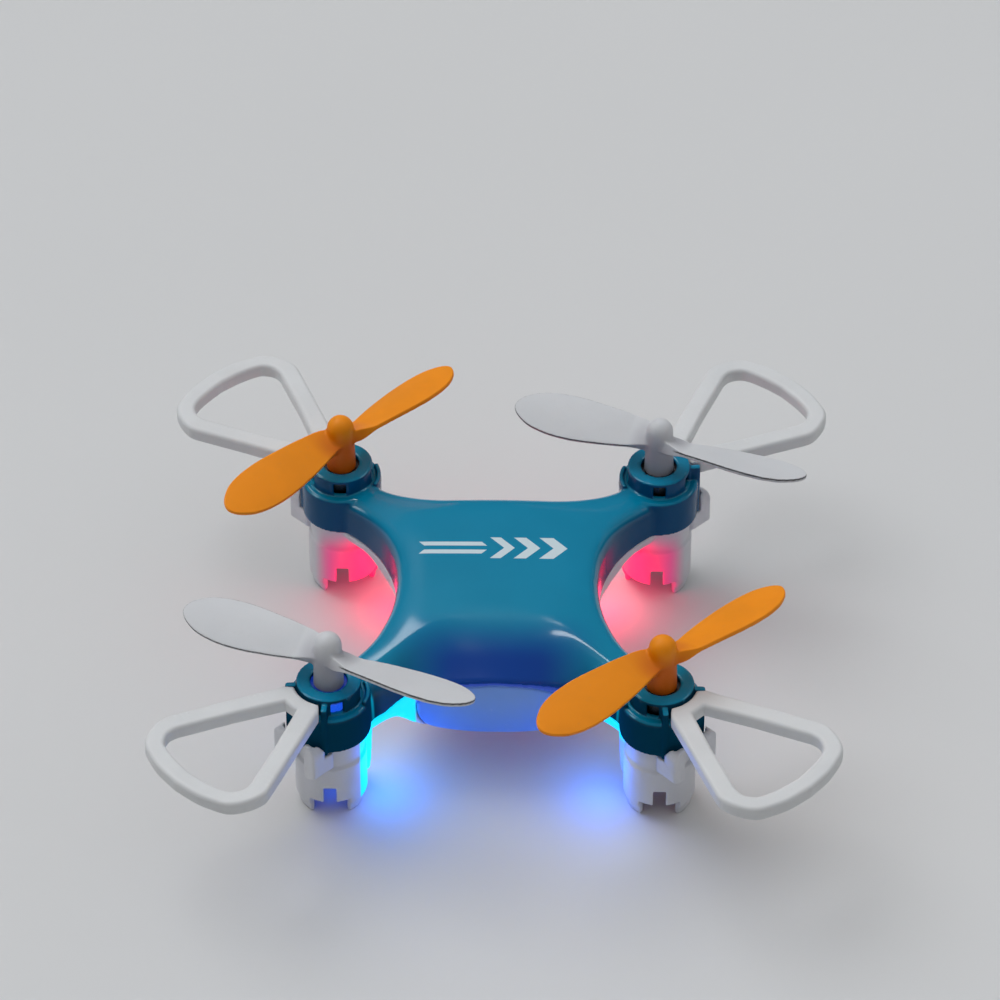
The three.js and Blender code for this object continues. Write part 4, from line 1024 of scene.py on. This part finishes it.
WHITE_SHELL, BLUE_SHELL, NOSE = white_shell(), blue_shell(), nose_plastic()
GUARD = plastic("guard_white_plastic", rgb(219, 220, 221), vary=0.02, rough=0.44, grain=1.0)
PROP_WHITE = propeller_plastic("propeller_white_plastic", rgb(210, 211, 214),
                               hub_shade=rgb(150, 148, 158), shadow_line_colour=rgb(28, 28, 32),
                               specular=0.5, vary=0.02)
PROP_ORANGE = propeller_plastic("propeller_orange_plastic", rgb(250, 147, 0),
                                hub_shade=rgb(206, 84, 6), shadow_line_colour=None,
                                specular=0.28, vary=0.03)
WIRES = {"red": (178, 24, 22), "blue": (28, 62, 170), "black": (26, 26, 28),
         "white": (225, 225, 225)}
ALONG_X, ALONG_Y = (8, 1, 1), (1, 6, 1)
SLOT_MATS = {
    "motor_steel": motor_can(),
    "end_cap_black": plastic("end_cap_black_plastic", rgb(34, 34, 36), rough=0.5, edge=0.02),
    "coil_copper": metal("coil_copper_wire", (0.72, 0.32, 0.14, 1), scale=9.0, stretch=(1, 1, 6)),
    "shaft_steel": metal("shaft_steel", (0.62, 0.63, 0.65, 1), rough=0.22),
    "led_red": lamp("lamp_red", rgb(255, 90, 120), (1.0, 0.03, 0.12, 1)),
    "led_blue": lamp("lamp_blue", rgb(90, 140, 255), (0.03, 0.25, 1.0, 1)),
    "board_green": board(),
    "chip_black": plastic("chip_black_resin", rgb(30, 31, 33), rough=0.55, edge=0.02),
    "crystal_steel": metal("crystal_can_steel", grey(0.6), rough=0.28, scale=4.0,
                           stretch=ALONG_X),
    "battery_foil": metal("battery_foil", (0.70, 0.71, 0.73, 1), rough=0.36, scale=3.0,
                          stretch=ALONG_Y),
    "foam_black": plastic("foam_black", rgb(38, 38, 40), rough=0.9, grain=3.0, edge=0.0),
    "connector_cream": plastic("connector_cream_plastic", rgb(228, 220, 198), rough=0.45),
    "connector_white": plastic("connector_white_plastic", rgb(236, 234, 226), rough=0.45),
    **{"wire_" + name: plastic(f"wire_{name}_silicone", rgb(*levels), rough=0.5, edge=0.0)
       for name, levels in WIRES.items()},
    "switch_steel": metal("switch_steel", (0.55, 0.57, 0.58, 1), scale=4.0, stretch=ALONG_X),
    "switch_black": plastic("switch_black_plastic", rgb(32, 33, 35), rough=0.5, edge=0.03),
    "socket_steel": metal("socket_steel", (0.66, 0.67, 0.68, 1), rough=0.28, scale=4.0,
                          stretch=ALONG_X),
    "screw_steel": metal("screw_steel", (0.38, 0.38, 0.40, 1), rough=0.32, scale=5.0,
                         stretch=(1, 1, 1)),
}


def paint(obj, material):
    obj.data.materials.clear()
    obj.data.materials.append(material)


# ------------------------------------------------------------------ build the pieces
def place_piece(obj, material, body, node):
    paint(obj, material)
    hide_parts(node)
    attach(obj, body)


def finish_cad_piece(node, obj, slot):
    """material, softened edges (not on wires, antenna and coils) and smooth shading"""
    paint(obj, SLOT_MATS[slot])
    if not node.startswith(("motor_wire", "battery_wire", "antenna", "motor_coil")):
        bevel = obj.modifiers.new("soft_edges", "BEVEL")
        bevel.width = 0.00008                   # metres
        bevel.segments = 2
        bevel.limit_method = "ANGLE"
        bevel.angle_limit = math.radians(40)
    for polygon in obj.data.polygons:
        polygon.use_smooth = True
    obj.modifiers.new("clean_shading", "WEIGHTED_NORMAL").keep_sharp = True


place_piece(make_upper(), BLUE_SHELL, "airframe", "upper_shell")
place_piece(make_lower(), WHITE_SHELL, "airframe", "lower_shell")
place_piece(make_nose(), NOSE, "airframe", "nose_cover")
for name, signs in PODS.items():
    place_piece(make_guard(name, signs), GUARD, "airframe", "guard_" + name)
    if name in ("rear_left", "front_right"):
        material, slot = PROP_ORANGE, "propeller_orange"
    else:
        material, slot = PROP_WHITE, "propeller_white"
    place_piece(make_propeller(name, signs), material, "rotor_" + name, "propeller_" + name)

slots = {part["node"]: part["material_slot"] for part in frame["record"]["subparts"]}
for node, obj in frame["nodes"].items():
    if not obj.hide_render:
        finish_cad_piece(node, obj, slots[node])


# ------------------------------------------------------------------ floor, lamps, world, camera
def make_floor(half=3.0, z=-2e-5):
    """pale square, sizes in metres; clear when seen from below, to show the underside"""
    mesh = bpy.data.meshes.new("floor")
    corners = [(-half, -half, z), (half, -half, z), (half, half, z), (-half, half, z)]
    mesh.from_pydata(corners, [], [(0, 1, 2, 3)])
    obj = bpy.data.objects.new("floor", mesh)
    bpy.context.scene.collection.objects.link(obj)
    mat = Material("floor_pale")
    tone = mat.noise(mat.position(), scale=0.01, detail=2, rough=0.5)
    mat.surface(mat.mix(tone, grey(0.66), grey(0.70)), 0.6)
    clear = mat.node("ShaderNodeMixShader", {0: mat.geometry("Backfacing"),
                                             1: mat.bsdf.outputs[0]})
    mat.put(clear.inputs[2], mat.node("ShaderNodeBsdfTransparent").outputs[0])
    mat.put(mat.output.inputs[0], clear.outputs[0])
    paint(obj, mat.material)


def point_lamp(name, place, *, watts, colour, metres):
    light = bpy.data.lights.new(name, "POINT")
    light.energy = watts
    light.color = colour
    light.shadow_soft_size = metres
    obj = bpy.data.objects.new(name, light)
    obj.location = [value * MM for value in place]
    bpy.context.scene.collection.objects.link(obj)


# studio light: direction it comes from, inner and outer angle in degrees, strength
SOFT_LIGHT = [((0, 0.22, 0.97), 8, 84, 0.52), ((-0.43, 0.37, 0.82), 3, 26, 3.6),
              ((0, 0, 1), 0, 150, 0.22), ((0, 0, -1), 0, 100, 0.60)]
REFLECTED_LIGHT = [((0, 0, 1), 0, 120, 0.12), ((0, 0, -1), 0, 90, 0.30),
                   ((-0.17, 0.61, 0.775), 2, 9, 6.0), ((-0.21, 0.25, 0.945), 1.5, 6.5, 10.0),
                   ((-0.55, 0.1, 0.83), 2, 13, 4.5), ((0.60, 0.30, 0.74), 2, 12, 4.0),
                   ((-0.83, -0.09, 0.52), 3, 15, 4.5), ((0.83, -0.09, 0.52), 3, 13, 2.5)]


def light_sum(tree, direction, lobes):
    """each lobe is full within its inner angle and gone beyond its outer one"""
    parts = []
    for towards, inner, outer, strength in lobes:
        dot = tree.node("ShaderNodeVectorMath", {0: direction, 1: Vector(towards).normalized()},
                        operation="DOT_PRODUCT").outputs["Value"]
        lobe = tree.fade(dot, on=math.cos(math.radians(inner)),
                         off=math.cos(math.radians(outer)), kind="SMOOTHERSTEP")
        parts.append(tree.mul(lobe, strength))
    return reduce(tree.add, parts)


def make_world():
    """reflections see a world of their own, with small bright lobes"""
    world = bpy.data.worlds.new("studio")
    world.use_nodes = True
    tree = Tree(world.node_tree)
    direction = tree.node("ShaderNodeTexCoord").outputs["Generated"]
    soft = light_sum(tree, direction, SOFT_LIGHT)
    reflected = light_sum(tree, direction, REFLECTED_LIGHT)
    glossy = tree.node("ShaderNodeLightPath").outputs["Is Glossy Ray"]
    pick = tree.node("ShaderNodeMix", {0: glossy, 2: soft, 3: reflected})
    background = world.node_tree.nodes["Background"]
    background.inputs[0].default_value = (0.96, 0.98, 1.0, 1)
    tree.put(background.inputs[1], pick.outputs[0])
    bpy.context.scene.world = world


def make_camera():
    """looks down at the front; place in metres, angles in degrees"""
    place, height_angle, yaw_angle = (0.0067748, -0.4463435, 0.4182157), 41.10166, 0.83439
    data = bpy.data.cameras.new("camera")
    data.sensor_width = 36.0
    data.lens = 184.7376
    data.clip_start, data.clip_end = 0.05, 20.0
    camera = bpy.data.objects.new("camera", data)
    bpy.context.scene.collection.objects.link(camera)
    height, yaw = math.radians(height_angle), math.radians(yaw_angle)
    back = Vector((math.sin(yaw) * math.cos(height), -math.cos(yaw) * math.cos(height),
                   math.sin(height)))
    right = (-back).cross(Vector((0, 0, 1))).normalized()
    up = right.cross(-back).normalized()
    turn = Matrix((right, up, back)).transposed().to_4x4()
    camera.matrix_world = Matrix.Translation(Vector(place)) @ turn
    bpy.context.scene.camera = camera


make_floor()
point_lamp("lamp_spill_cup", (-19.0, -19.2, 1.7), watts=0.0001, colour=(0.02, 0.14, 1.0),
           metres=0.0012)
for x_sign in (-1, 1):
    point_lamp("lamp_spill_front", (x_sign * 12.2, -19.4, 4.4), watts=0.0015,
               colour=(0.02, 0.16, 1.0), metres=0.0025)
    point_lamp("lamp_spill_rear", (x_sign * 12.6, 12.6, 4.0), watts=0.0017,
               colour=(1.0, 0.01, 0.09), metres=0.0025)
make_world()
make_camera()
bpy.context.scene.view_settings.view_transform = "Standard"

bpy.context.view_layer.update()
